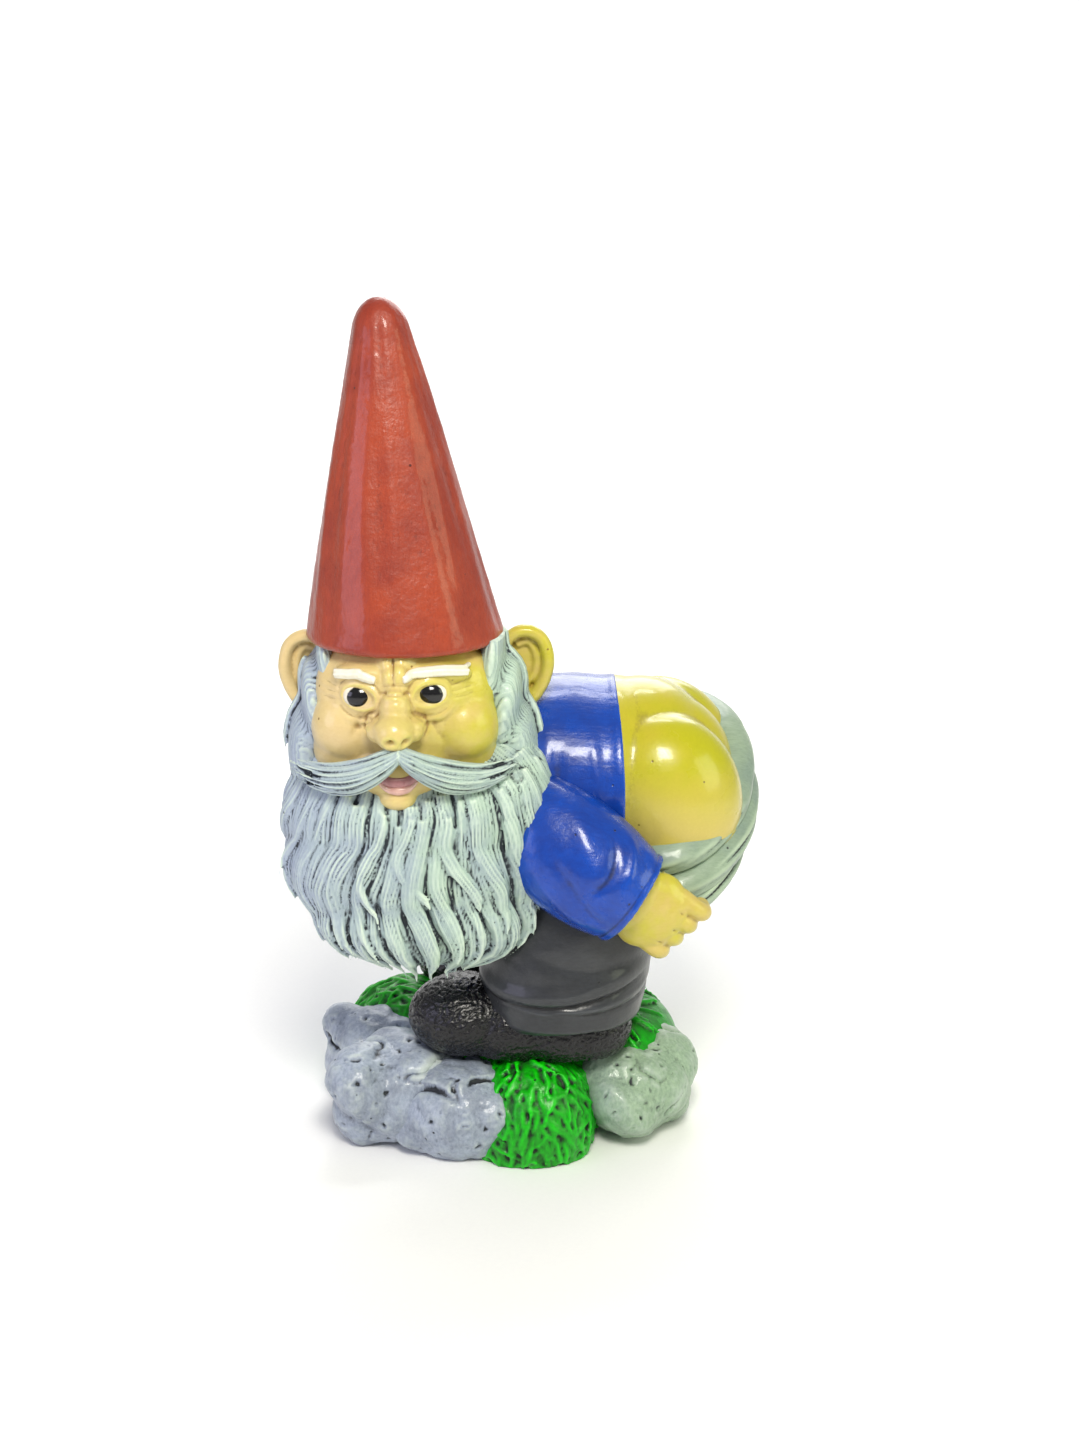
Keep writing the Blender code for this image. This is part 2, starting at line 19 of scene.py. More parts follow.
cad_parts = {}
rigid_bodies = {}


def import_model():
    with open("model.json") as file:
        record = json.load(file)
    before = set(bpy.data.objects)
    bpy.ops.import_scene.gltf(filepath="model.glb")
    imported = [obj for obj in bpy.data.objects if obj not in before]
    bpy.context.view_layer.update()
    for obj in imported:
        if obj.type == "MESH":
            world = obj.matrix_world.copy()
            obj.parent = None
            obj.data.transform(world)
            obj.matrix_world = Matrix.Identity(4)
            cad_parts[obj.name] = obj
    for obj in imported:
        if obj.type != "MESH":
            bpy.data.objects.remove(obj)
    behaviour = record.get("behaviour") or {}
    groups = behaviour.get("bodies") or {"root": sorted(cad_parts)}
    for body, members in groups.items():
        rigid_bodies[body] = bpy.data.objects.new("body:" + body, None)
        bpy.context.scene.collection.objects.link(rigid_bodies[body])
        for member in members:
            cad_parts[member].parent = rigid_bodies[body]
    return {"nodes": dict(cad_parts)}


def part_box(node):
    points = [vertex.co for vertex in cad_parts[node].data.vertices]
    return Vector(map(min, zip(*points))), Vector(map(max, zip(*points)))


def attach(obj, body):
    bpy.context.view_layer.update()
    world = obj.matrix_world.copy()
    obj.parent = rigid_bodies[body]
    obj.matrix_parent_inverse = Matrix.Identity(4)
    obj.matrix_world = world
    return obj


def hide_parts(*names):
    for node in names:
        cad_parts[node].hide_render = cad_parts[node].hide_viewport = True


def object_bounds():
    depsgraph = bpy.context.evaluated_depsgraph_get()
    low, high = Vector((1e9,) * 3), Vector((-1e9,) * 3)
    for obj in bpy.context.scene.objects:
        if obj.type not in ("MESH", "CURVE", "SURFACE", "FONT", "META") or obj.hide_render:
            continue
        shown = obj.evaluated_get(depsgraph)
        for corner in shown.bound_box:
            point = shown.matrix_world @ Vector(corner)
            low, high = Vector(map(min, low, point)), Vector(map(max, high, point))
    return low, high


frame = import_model()
cad_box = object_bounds()
print("nodes:", len(frame["nodes"]), "box:", [tuple(round(c, 3) for c in corner) for corner in cad_box])

# %% [markdown]
# ## Camera
#
# The figure is seen from its left side, a little from above, from about a metre and a half. A lens of
# 51 mm gives a mild perspective: the mound's far side looks only slightly smaller than the near one.

# %% Camera
view = bpy.data.objects.new("camera", bpy.data.cameras.new("camera"))
bpy.context.scene.collection.objects.link(view)
view.location = (0.013, -1.400, 0.700)
view.rotation_euler = (Vector((0.013, 0, 0.2985)) - view.location).to_track_quat("-Z", "Y").to_euler()
view.data.lens = 50.8
bpy.context.scene.camera = view
print("camera", [round(c, 3) for c in view.location])

# %% [markdown]
# ## Working like a modeller
#
# Clay is built up from lumps and rolls that are pressed into one mass. In Blender that is a few
# ellipsoids and swept rolls, joined, given one skin by a voxel Remesh, and smoothed. After that,
# lines are drawn in and ridges are raised with a tool, which here moves the points near a path along
# their normals, with a soft edge, as the Draw brush does.


# %% Lumps
def pick(*pieces):
    """Selects only these pieces, and makes the first one active."""
    bpy.ops.object.select_all(action="DESELECT")
    for piece in pieces:
        piece.select_set(True)
    bpy.context.view_layer.objects.active = pieces[0]


def lump(centre, size, turn=(0, 0, 0)):
    """An ellipsoid of clay, with half sizes in metres and turns in degrees."""
    bpy.ops.object.select_all(action="DESELECT")
    angles = [math.radians(angle) for angle in turn]
    bpy.ops.mesh.primitive_uv_sphere_add(segments=32, ring_count=20, location=centre, rotation=angles)
    made = bpy.context.object
    made.scale = size
    bpy.ops.object.transform_apply(location=True, rotation=True, scale=True)
    return made


print("pick and lump ready")


# %% Rolls
def smooth_path(points, count):
    """A soft line through the points (Catmull-Rom), as an array of that many spots."""
    points = np.array(points, float)
    padded = np.vstack([2 * points[0] - points[1], points, 2 * points[-1] - points[-2]])
    spots = []
    for share in np.linspace(0, len(points) - 1, count):
        k = min(int(share), len(points) - 2)
        t = share - k
        a, b, c, d = padded[k : k + 4]
        spots.append(
            0.5
            * (
                2 * b
                + (c - a) * t
                + (2 * a - 5 * b + 4 * c - d) * t * t
                + (3 * b - a - 3 * c + d) * t**3
            )
        )
    return np.array(spots)


def unit(rows):
    """Rows scaled to length 1."""
    return rows / np.maximum(np.linalg.norm(rows, axis=-1, keepdims=True), 1e-12)


def roll(path, facing, half_width, half_thickness, sides=10, name="roll"):
    """A roll of clay along a path. facing is which way its flat top looks, at each spot or once for all."""
    path = np.array(path, float)
    count = len(path)
    facing = np.broadcast_to(np.array(facing, float), (count, 3))
    half_width = np.broadcast_to(half_width, (count,))
    half_thickness = np.broadcast_to(half_thickness, (count,))
    along = unit(np.gradient(path, axis=0))
    across = unit(np.cross(along, facing))
    top = unit(np.cross(across, along))
    turns = np.arange(sides) * 2 * math.pi / sides
    rings = (
        path[:, None]
        + across[:, None] * (np.cos(turns)[None, :, None] * half_width[:, None, None])
        + top[:, None] * (np.sin(turns)[None, :, None] * half_thickness[:, None, None])
    )
    spots = np.vstack([rings.reshape(-1, 3), path[:1], path[-1:]])
    first, last = count * sides, count * sides + 1
    faces = []
    for k in range(count - 1):
        for s in range(sides):
            after = (s + 1) % sides
            faces.append(
                (k * sides + s, k * sides + after, (k + 1) * sides + after, (k + 1) * sides + s)
            )
    for s in range(sides):
        after = (s + 1) % sides
        faces.append((first, after, s))
        faces.append((last, (count - 1) * sides + s, (count - 1) * sides + after))
    mesh = bpy.data.meshes.new(name)
    mesh.from_pydata(spots.tolist(), [], faces)
    made = bpy.data.objects.new(name, mesh)
    bpy.context.scene.collection.objects.link(made)
    return made


print("roll ready")


# %% Pressing lumps into one skin
def finish_modifier(piece, modifier):
    """Applies a modifier."""
    pick(piece)
    bpy.ops.object.modifier_apply(modifier=modifier.name)


def press(name, lumps, grain, softening):
    """Joins lumps and rolls into one skin with points that far apart, and smooths it."""
    pick(*lumps)
    if len(lumps) > 1:
        bpy.ops.object.join()
    piece = bpy.context.object
    piece.name = piece.data.name = name
    bpy.ops.object.mode_set(mode="EDIT")
    bpy.ops.mesh.select_all(action="SELECT")
    bpy.ops.mesh.normals_make_consistent(inside=False)
    bpy.ops.object.mode_set(mode="OBJECT")
    skin = piece.modifiers.new("one skin", "REMESH")
    skin.mode = "VOXEL"
    skin.voxel_size = grain
    finish_modifier(piece, skin)
    if softening:
        soften = piece.modifiers.new("soften", "SMOOTH")
        soften.iterations = softening
        finish_modifier(piece, soften)
    bpy.ops.object.shade_smooth()
    return piece


def cut_flat(piece, point, normal):
    """Cuts a piece at a plane and throws away the side that the normal points into."""
    pick(piece)
    bpy.ops.object.mode_set(mode="EDIT")
    bpy.ops.mesh.select_all(action="SELECT")
    bpy.ops.mesh.bisect(plane_co=point, plane_no=normal, use_fill=True, clear_outer=True)
    bpy.ops.object.mode_set(mode="OBJECT")
    return piece


print("press and cut_flat ready")


# %% Drawing on the clay
def spots_of(piece):
    """The piece's points, as an array."""
    flat = np.empty(len(piece.data.vertices) * 3, np.float32)
    piece.data.vertices.foreach_get("co", flat)
    return flat.reshape(-1, 3).astype(float)


def facing_of(piece):
    """The normal at each point."""
    flat = np.empty(len(piece.data.vertices) * 3, np.float32)
    piece.data.vertex_normals.foreach_get("vector", flat)
    return flat.reshape(-1, 3).astype(float)


def put_spots(piece, spots):
    """Moves the piece's points."""
    piece.data.vertices.foreach_set("co", spots.astype(np.float32).ravel())
    piece.data.update()


def draw(piece, strokes):
    """Raises clay (height above 0) or carves it (below 0) along paths: (path, width, height, taper)."""
    spots, facing = spots_of(piece), facing_of(piece)
    lift = np.zeros(len(spots))
    for path, width, height, taper in strokes:
        path = np.array(path, float)
        reach = 2.2 * width
        near = np.nonzero(
            np.all((spots > path.min(0) - reach) & (spots < path.max(0) + reach), axis=1)
        )[0]
        if not len(near):
            continue
        here = spots[near]
        nearest = np.full(len(near), np.inf)
        share = np.zeros(len(near))
        for k in range(len(path) - 1):
            step = path[k + 1] - path[k]
            t = np.clip(((here - path[k]) @ step) / max(step @ step, 1e-12), 0, 1)
            gap = np.linalg.norm(here - (path[k] + t[:, None] * step), axis=1)
            closer = gap < nearest
            nearest[closer] = gap[closer]
            share[closer] = ((k + t) / (len(path) - 1))[closer]
        fade = np.sin(np.pi * np.clip(share * 0.94 + 0.03, 0, 1)) ** taper if taper else 1.0
        lift[near] += height * np.exp(-((nearest / width) ** 2)) * fade
    put_spots(piece, spots + facing * lift[:, None])


def skin_of(piece):
    """A search tree over the piece's faces, for finding its surface."""
    graph = bpy.context.evaluated_depsgraph_get()
    return BVHTree.FromObject(piece, graph)


def on_front(skin, x, z, lift=0.0):
    """The spot of a surface that is seen at x, z from the front, lifted off it."""
    spot, normal, _, _ = skin.ray_cast(Vector((x, -1.0, z)), Vector((0, 1, 0)))
    if spot is None:
        spot, normal, _, _ = skin.find_nearest(Vector((x, -0.10, z)))
    return spot + normal * lift


def front_path(skin, points, count=14, lift=0.0):
    """A soft path over the front of a surface, through points given as x, z."""
    flat = smooth_path([(x, 0, z) for x, z in points], count)
    return [tuple(on_front(skin, x, z, lift)) for x, _, z in flat]


print("draw ready")


# %% [markdown]
# ## Uneven surfaces and crevices
#
# A brushed casting is never true. Displace with a cloud texture gives it a slow unevenness. The dark
# wash that makes the modelling readable, deepened into painted shade, gathers wherever the surface lies
# below its surroundings, and a painted highlight where it lies above them, so each point is compared
# with a smoothed copy of the mesh, and the difference is stored for the paint.


# %% Unevenness
def uneven(piece, size, height):
    """Swells and sinks the surface by half that height each way, with features of about that size."""
    pattern = bpy.data.textures.new(piece.name + "_uneven", "CLOUDS")
    pattern.noise_scale = size
    pattern.noise_depth = 2
    press_in = piece.modifiers.new("uneven", "DISPLACE")
    press_in.texture = pattern
    press_in.texture_coords = "LOCAL"
    press_in.strength = height
    press_in.mid_level = 0.5
    finish_modifier(piece, press_in)


def settle(rows, ends, count, passes):
    """Each point's value averaged with its neighbours', that many times."""
    shared = np.bincount(ends[:, 0], minlength=count) + np.bincount(ends[:, 1], minlength=count)
    shared = np.maximum(shared, 1)[:, None]
    for _ in range(passes):
        total = np.empty_like(rows)
        for axis in range(rows.shape[1]):
            total[:, axis] = np.bincount(ends[:, 0], rows[ends[:, 1], axis], count)
            total[:, axis] += np.bincount(ends[:, 1], rows[ends[:, 0], axis], count)
        rows = 0.5 * rows + 0.5 * total / shared
    return rows


def store(piece, name, values):
    """Keeps one number for each point of the piece."""
    kept = piece.data.attributes.get(name) or piece.data.attributes.new(name, "FLOAT", "POINT")
    kept.data.foreach_set("value", np.asarray(values, np.float32))


SCRATCH_PASSES, FOLD_PASSES = 5, 30  # how often a surface is settled, to compare it with itself


def find_crevices(piece, fine, broad):
    """Stores relief: about -1 at the bottom of a groove, 0 on the level, +1 on a crest.

    fine and broad are the heights, in metres, that count as deep for a scratch and for a fold.
    """
    spots, facing = spots_of(piece), facing_of(piece)
    ends = np.empty(len(piece.data.edges) * 2, np.int32)
    piece.data.edges.foreach_get("vertices", ends)
    ends = ends.reshape(-1, 2)
    near = settle(spots, ends, len(spots), SCRATCH_PASSES)
    far = settle(near, ends, len(spots), FOLD_PASSES)
    depth = ((spots - near) * facing).sum(1) / fine + ((spots - far) * facing).sum(1) / broad
    store(piece, "relief", np.clip(0.5 * depth, -1.5, 1.5))


print("unevenness and crevices ready")

# %% [markdown]
# ## Where everything is
#
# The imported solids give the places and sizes. Each element gets a few anchor points from its own box,
# and all modelling is measured from those.


# %% Anchors
def middle(name):
    """The middle of a packed element's box."""
    low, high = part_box(name)
    return (low + high) / 2


def half(name):
    """Half the size of a packed element's box."""
    low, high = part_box(name)
    return (high - low) / 2


def corner(name, x, y, z):
    """A spot in an element's box, with 0 at its low side and 1 at its high side along each axis."""
    low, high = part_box(name)
    return Vector(
        (low.x + (high.x - low.x) * x, low.y + (high.y - low.y) * y, low.z + (high.z - low.z) * z)
    )


# HEAD is the middle of the skull, HIPS of the seat, and BODY_Y is the plane that halves the body.
HEAD = Vector((middle("head").x, corner("head", 0, 1, 0).y - 0.066, corner("head", 0, 0, 0).z + 0.068))
HIPS = middle("bare_seat") + Vector((-0.012, -0.001, 0.002))
BODY_Y = middle("shirt_body").y
print("head", [round(c, 3) for c in HEAD], "hips", [round(c, 3) for c in HIPS])


def stands_for(piece, slot, *nodes):
    """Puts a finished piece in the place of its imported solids."""
    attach(piece, "root")
    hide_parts(*nodes)
    print(piece.name, "has", len(piece.data.polygons), "faces")
    return piece


# %% [markdown]
# ## Hat
#
# A tall cone with a rounded tip, pulled up by hand, so its side is a little wavy and falls into soft
# flat strokes from tip to brim. It is turned from a profile with a Screw modifier, and then each
# point is pushed in or out by a noise that changes quickly round the cone and slowly along it.

# %% Hat: turned profile
hat_low, hat_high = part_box("hat")
hat_radius = half("hat").y
hat_length = hat_high.z - hat_low.z
tip_radius, dome = 0.0195, 0.023
edge = 0.0035  # the height over which the brim's edge is rounded
slope = (hat_radius - tip_radius) / (hat_length - dome)
profile = []
for angle in np.linspace(0, math.pi / 2 - math.atan(slope), 14):
    out = math.sin(angle) / math.cos(math.atan(slope))
    rise = (math.cos(angle) - slope * 0.9) / (1 - slope * 0.9)
    profile.append((tip_radius * out, hat_length - dome + dome * rise))
for share in np.linspace(0, 1, 80)[1:]:
    belly = 0.0012 * math.sin(math.pi * share)
    radius = tip_radius + (hat_radius - tip_radius) * share + belly
    profile.append((radius, edge + (hat_length - dome - edge) * (1 - share)))
profile += [
    (hat_radius - 0.0007, 0.0012),
    (hat_radius - 0.0028, 0.0),
    (hat_radius - 0.012, -0.0005),
    (0.0, -0.0005),
]
mesh = bpy.data.meshes.new("hat_paint")
mesh.from_pydata([(r, 0, z) for r, z in profile], [(k, k + 1) for k in range(len(profile) - 1)], [])
hat = bpy.data.objects.new("pointed_hat", mesh)
bpy.context.scene.collection.objects.link(hat)
turned = hat.modifiers.new("turned", "SCREW")
turned.steps = turned.render_steps = 176
turned.use_merge_vertices = True
turned.merge_threshold = 0.0001
finish_modifier(hat, turned)
print("hat profile of", len(profile), "points")

# %% Hat: pulled by hand
tip = max((v.co for v in frame["nodes"]["hat"].data.vertices), key=lambda spot: spot.z)
lean = tip.x - middle("hat").x + (hat_radius - half("hat").x)
base_x = hat_low.x + hat_radius
shaped = []
for vertex in hat.data.vertices:
    x, y, z = vertex.co
    radius = math.hypot(x, y)
    if radius > 1e-5:
        round_x, round_y = x / radius, y / radius
        swing = noise.noise((round_x * 1.7, round_y * 1.7, z * 5.0))
        fine = noise.noise((round_x * 4.5 + 7, round_y * 4.5, z * 11.0))
        grow = min(1.0, radius / 0.02) * min(1.0, z / 0.02 + 0.25)
        radius += (0.0022 * swing + 0.0010 * fine) * grow
        x, y = round_x * radius, round_y * radius
    shaped.append((base_x + x + (tip.x - base_x) * z / hat_length, middle("hat").y + y, hat_low.z + z))
put_spots(hat, np.array(shaped))
hat = press("pointed_hat", [hat], 0.0014, 3)

# %% Hat: strokes of the thumb
chance = random.Random(3)
strokes = []
for k in range(26):
    angle = 2 * math.pi * (k + 0.7 * chance.random()) / 26
    top_end, low_end = chance.uniform(0.45, 0.93), chance.uniform(0.0, 0.25)
    path = []
    for share in np.linspace(low_end, top_end, 12):
        radius = hat_radius + (tip_radius - hat_radius) * share
        turn = angle + 0.10 * math.sin(3 * share + k)
        middle_x = base_x + (tip.x - base_x) * share
        path.append(
            (
                middle_x + radius * math.cos(turn), middle("hat").y + radius * math.sin(turn),
                hat_low.z + hat_length * share,
            )
        )
    strokes.append(
        (path, chance.uniform(0.0035, 0.0075), chance.choice((-0.0009, 0.0008, -0.0006, 0.0010)), 0.6)
    )
draw(hat, strokes)
uneven(hat, 0.007, 0.0005)
uneven(hat, 0.0022, 0.00030)
find_crevices(hat, 0.00030, 0.0022)
stands_for(hat, "red_hat_paint", "hat")

# %% [markdown]
# ## Face
#
# The face is a ball of clay with pads pressed on: two round cheeks, a nose with wings, a brow and a
# chin. One skin goes over them all, and then the folds are drawn: lids round the eyes, bags under
# them, the furrow between the brows, and the folds from nose to mouth.

# %% Face: masses
nose_tip = Vector(
    (middle("nose").x - 0.0025, corner("nose", 0, 0, 0).y + 0.0125, corner("nose", 0, 0, 0).z + 0.0085)
)
face_lumps = [
    lump(HEAD, (0.0655, 0.0650, 0.0680)),
    lump(HEAD + Vector((-0.001, -0.020, 0.020)), (0.0600, 0.0490, 0.0440)),
    lump(HEAD + Vector((0.000, -0.050, 0.036)), (0.0460, 0.0145, 0.0100)),
    lump(HEAD + Vector((-0.0385, -0.0345, -0.0040)), (0.0250, 0.0265, 0.0280), (0, 0, 20)),
    lump(HEAD + Vector((0.0385, -0.0345, -0.0040)), (0.0260, 0.0270, 0.0285), (0, 0, -20)),
    lump(HEAD + Vector((-0.0400, -0.0300, -0.0200)), (0.0230, 0.0240, 0.0240)),
    lump(HEAD + Vector((0.0400, -0.0300, -0.0200)), (0.0230, 0.0240, 0.0240)),
    lump(HEAD + Vector((-0.0400, -0.0260, 0.0180)), (0.0210, 0.0250, 0.0320)),
    lump(HEAD + Vector((0.0400, -0.0260, 0.0180)), (0.0220, 0.0250, 0.0320)),
    lump(HEAD + Vector((-0.0030, -0.0480, -0.0320)), (0.0330, 0.0240, 0.0200)),
    lump(HEAD + Vector((-0.0035, -0.0620, -0.0475)), (0.0130, 0.0100, 0.0085)),
    lump(nose_tip, (0.0138, 0.0150, 0.0125)),
    lump(nose_tip + Vector((-0.0108, 0.0075, -0.0008)), (0.0086, 0.0110, 0.0084)),
    lump(nose_tip + Vector((0.0112, 0.0075, -0.0003)), (0.0086, 0.0110, 0.0084)),
    lump(nose_tip + Vector((0.0005, 0.0090, 0.0120)), (0.0110, 0.0110, 0.0160), (24, 0, 0)),
    lump(nose_tip + Vector((0.0008, 0.0180, 0.0270)), (0.0095, 0.0090, 0.0150), (20, 0, 0)),
    lump(nose_tip + Vector((0.0010, 0.0235, 0.0400)), (0.0140, 0.0080, 0.0100), (10, 0, 0)),
]
face = press("face", face_lumps, 0.0011, 20)
print("face skin", len(face.data.polygons), "faces")

# %% Face: eye sockets
eye_spots = {
    "left": middle("left_eye") + Vector((-0.0036, 0, -0.0020)),
    "right": middle("right_eye") + Vector((0, 0, -0.0016)),
}
skin = skin_of(face)
strokes = []
for spot in eye_spots.values():
    ends = [tuple(on_front(skin, spot.x + across, spot.z)) for across in (-0.004, 0.004)]
    strokes.append((ends, 0.0085, -0.0022, 0))
draw(face, strokes)
print("eye sockets pressed")


# %% Face: folds
def eye_ring(skin, spot, across, up, start, stop, tilt=0.0):
    """Part of an oval round an eye, in degrees from its right-hand end."""
    points = []
    for angle in np.linspace(math.radians(start), math.radians(stop), 16):
        x = spot.x + across * math.cos(angle)
        z = spot.z + up * math.sin(angle) + tilt * math.cos(angle)
        points.append(tuple(on_front(skin, x, z)))
    return points


skin = skin_of(face)
strokes = []
for side, sign in (("left", 1), ("right", -1)):
    spot = eye_spots[side]
    tilt = 0.0008 * sign
    strokes += [
        (eye_ring(skin, spot, 0.0118, 0.0084, 2, 178, tilt), 0.0019, 0.0022, 0.3),
        (eye_ring(skin, spot, 0.0118, 0.0082, 182, 358, tilt), 0.0017, 0.0015, 0.3),
        (eye_ring(skin, spot, 0.0152, 0.0136, 20, 165, tilt), 0.0010, -0.0012, 0.6),
        (eye_ring(skin, spot, 0.0158, 0.0146, 205, 340, tilt), 0.0010, -0.0008, 0.6),
        (eye_ring(skin, spot, 0.0180, 0.0178, 215, 330, tilt), 0.0024, 0.0009, 0.6),
        (eye_ring(skin, spot, 0.0200, 0.0210, 225, 315, tilt), 0.0012, -0.0005, 0.6),
    ]
    out = spot.x + 0.0125 * sign
    for rise, length in ((0.0046, 0.0150), (0.0012, 0.0180), (-0.0024, 0.0165)):
        end = (out + sign * length, spot.z + rise * 1.5 + 0.0018)
        strokes.append(
            (
                front_path(
                    skin, [(out, spot.z + rise), ((out + end[0]) / 2, spot.z + rise * 1.4), end]
                ),
                0.0008, -0.0007, 0.7,
            )
        )
draw(face, strokes)
print("lids, bags and crow's-feet drawn")

# %% Face: brow, bridge and nose
skin = skin_of(face)
bridge = nose_tip + Vector((0.0005, 0, 0))
strokes = [
    (
        front_path(
            skin,
            [
                (bridge.x - 0.0015, HEAD.z + 0.052),
                (bridge.x - 0.0020, HEAD.z + 0.043),
                (bridge.x - 0.0012, HEAD.z + 0.033),
            ],
        ),
        0.0015, -0.0030, 0.6,
    ),
    (
        front_path(skin, [(bridge.x - 0.0070, HEAD.z + 0.049), (bridge.x - 0.0065, HEAD.z + 0.036)]),
        0.0030, 0.0014, 0.6,
    ),
    (
        front_path(skin, [(bridge.x + 0.0045, HEAD.z + 0.049), (bridge.x + 0.0045, HEAD.z + 0.036)]),
        0.0030, 0.0014, 0.6,
    ),
]
for rise, reach, depth in (
    (0.0320, 0.0090, -0.0011), (0.0275, 0.0100, -0.0014), (0.0232, 0.0080, -0.0008)
):
    arch = [
        (bridge.x - reach, HEAD.z + rise - 0.0012),
        (bridge.x, HEAD.z + rise + 0.0010),
        (bridge.x + reach, HEAD.z + rise - 0.0010),
    ]
    strokes.append((front_path(skin, arch), 0.0011, depth, 0.6))
for sign in (-1, 1):
    wing = [
        (nose_tip.x + sign * 0.0135, nose_tip.z + 0.0105),
        (nose_tip.x + sign * 0.0195, nose_tip.z + 0.0060),
        (nose_tip.x + sign * 0.0212, nose_tip.z - 0.0010),
        (nose_tip.x + sign * 0.0185, nose_tip.z - 0.0080),
    ]
    strokes.append((front_path(skin, wing), 0.0013, -0.0018, 0.4))
    fold = [
        (nose_tip.x + sign * 0.0175, nose_tip.z + 0.0085),
        (nose_tip.x + sign * 0.0240, nose_tip.z + 0.0030),
        (nose_tip.x + sign * 0.0270, nose_tip.z - 0.0040),
        (nose_tip.x + sign * 0.0310, nose_tip.z - 0.0110),
    ]
    strokes.append((front_path(skin, fold), 0.0026, -0.0014, 0.6))
    nostril = on_front(skin, nose_tip.x + 0.0034 + sign * 0.0050, nose_tip.z - 0.0046)
    strokes.append(
        (
            [tuple(nostril), tuple(nostril + Vector((sign * 0.0012, 0.0010, -0.0004)))], 0.0024,
            -0.0075, 0,
        )
    )
    brow = [
        (HEAD.x + sign * 0.012, HEAD.z + 0.036),
        (HEAD.x + sign * 0.028, HEAD.z + 0.0385),
        (HEAD.x + sign * 0.045, HEAD.z + 0.036),
    ]
    strokes.append((front_path(skin, brow), 0.0060, 0.0022, 0.4))
draw(face, strokes)
soften = face.modifiers.new("soften", "SMOOTH")
soften.iterations = 2
finish_modifier(face, soften)
uneven(face, 0.012, 0.0006)
cut_flat(face, (0, 0, hat_low.z + 0.004), (0, 0, 1))
find_crevices(face, 0.00020, 0.0012)
stands_for(face, "flesh_paint", "head", "nose")

# %% [markdown]
# ## Eyes, brows and mouth
#
# The eyeballs are set in with a white rim left round a large black pupil. The brows are two short
# rolls of hair combed outwards, and the mouth is a dark gap with teeth and a lower lip in it.

# %% Eyes
EYEBALL = (0.0114, 0.0090, 0.0084)  # half sizes: across, deep, high
PUPIL = (0.0085, 0.0073)
for side, spot in eye_spots.items():
    bpy.ops.object.select_all(action="DESELECT")
    bpy.ops.mesh.primitive_uv_sphere_add(
        segments=64, ring_count=40, location=spot, rotation=(math.pi / 2, 0, 0)
    )
    eye = bpy.context.object
    eye.name = eye.data.name = f"{side}_eyeball"
    eye.scale = EYEBALL
    bpy.ops.object.transform_apply(location=True, rotation=True, scale=True)
    front = on_front(skin_of(face), spot.x, spot.z)
    shift = (front.y - 0.0034) - min(v.co.y for v in eye.data.vertices)
    for vertex in eye.data.vertices:
        vertex.co.y += shift
    bpy.ops.object.shade_smooth()
    off_middle = [
        ((v.co.x - spot.x) / PUPIL[0], (v.co.z - spot.z) / PUPIL[1]) for v in eye.data.vertices
    ]
    store(eye, "pupil", [x**2 + z**2 for x, z in off_middle])
    stands_for(eye, "black_eye_paint", f"{side}_eye")


# %% Hair in locks
def fullness(count):
    """How full a lock is at each of its spots: full in its upper part and drawn out to a point."""
    return np.interp(np.linspace(0, 1, count), [0, 0.12, 0.45, 0.8, 1.0], [0.55, 0.92, 1.0, 0.70, 0.10])


def lock(path, facing, width, thickness):
    """A lock of hair."""
    swell = fullness(len(path))
    return roll(path, facing, width * swell, thickness * swell, sides=8, name="lock")


face_skin = skin_of(face)
for side, sign in (("left", 1), ("right", -1)):
    low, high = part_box(f"{side}_eyebrow")
    inner_x, outer_x = (low.x, high.x) if sign > 0 else (high.x, low.x)
    step = outer_x - inner_x
    sink = 0.0032 if sign > 0 else 0.0050
    reach = -0.22 if sign > 0 else 0.20
    bow = ((reach, 0.0002), (reach + 0.26, 0.0030), (0.55, 0.0040), (0.96, 0.0022))
    ridge = [(inner_x + share * step, height) for share, height in bow]
    rolls = []
    for row, across in enumerate((-0.0016, 0.0, 0.0016)):
        points = [
            (x, low.z + z - sink + across * (0.6 + 0.4 * k / 3)) for k, (x, z) in enumerate(ridge)
        ]
        path = front_path(face_skin, points, 22, 0.0012 - 0.25 * abs(across))
        swell = np.interp(np.linspace(0, 1, 22), [0, 0.12, 0.6, 1], [0.70, 1.0, 1.0, 0.50 + 0.15 * row])
        rolls.append(roll(path, (0, -1, 0.3), 0.0022 * swell, 0.0026 * swell, sides=12))
    brow = press(f"{side}_brow_hair", rolls, 0.0006, 4)
    find_crevices(brow, 0.00020, 0.0008)
    stands_for(brow, "white_brow_paint", f"{side}_eyebrow")

# %% Mouth
mouth = middle("lower_lip")
lip_path = [
    (mouth.x - 0.0125, mouth.z + 0.0052),
    (mouth.x - 0.006, mouth.z + 0.0004),
    (mouth.x + 0.001, mouth.z - 0.0006),
    (mouth.x + 0.008, mouth.z + 0.0010),
    (mouth.x + 0.0135, mouth.z + 0.0060),
]
path = smooth_path([tuple(on_front(face_skin, x, z, 0.0004)) for x, z in lip_path], 18)
full = np.linspace(0, 1, 18)
lip_height = np.interp(full, [0, 0.5, 1], [0.0012, 0.0036, 0.0012])
lip_depth = np.interp(full, [0, 0.5, 1], [0.0018, 0.0036, 0.0018])
lip = press("lower_lip_roll", [roll(path, (0, -1, 0), lip_height, lip_depth, sides=12)], 0.0007, 3)
find_crevices(lip, 0.00015, 0.0006)
stands_for(lip, "lip_paint", "lower_lip")
bite = middle("teeth")
gum_line = ((-0.013, 0.003), (-0.006, -0.0008), (0.001, -0.0016), (0.008, -0.0004), (0.0135, 0.0036))
path = [tuple(on_front(face_skin, bite.x + x, bite.z + z, -0.0002)) for x, z in gum_line]
path = smooth_path(path, 18)
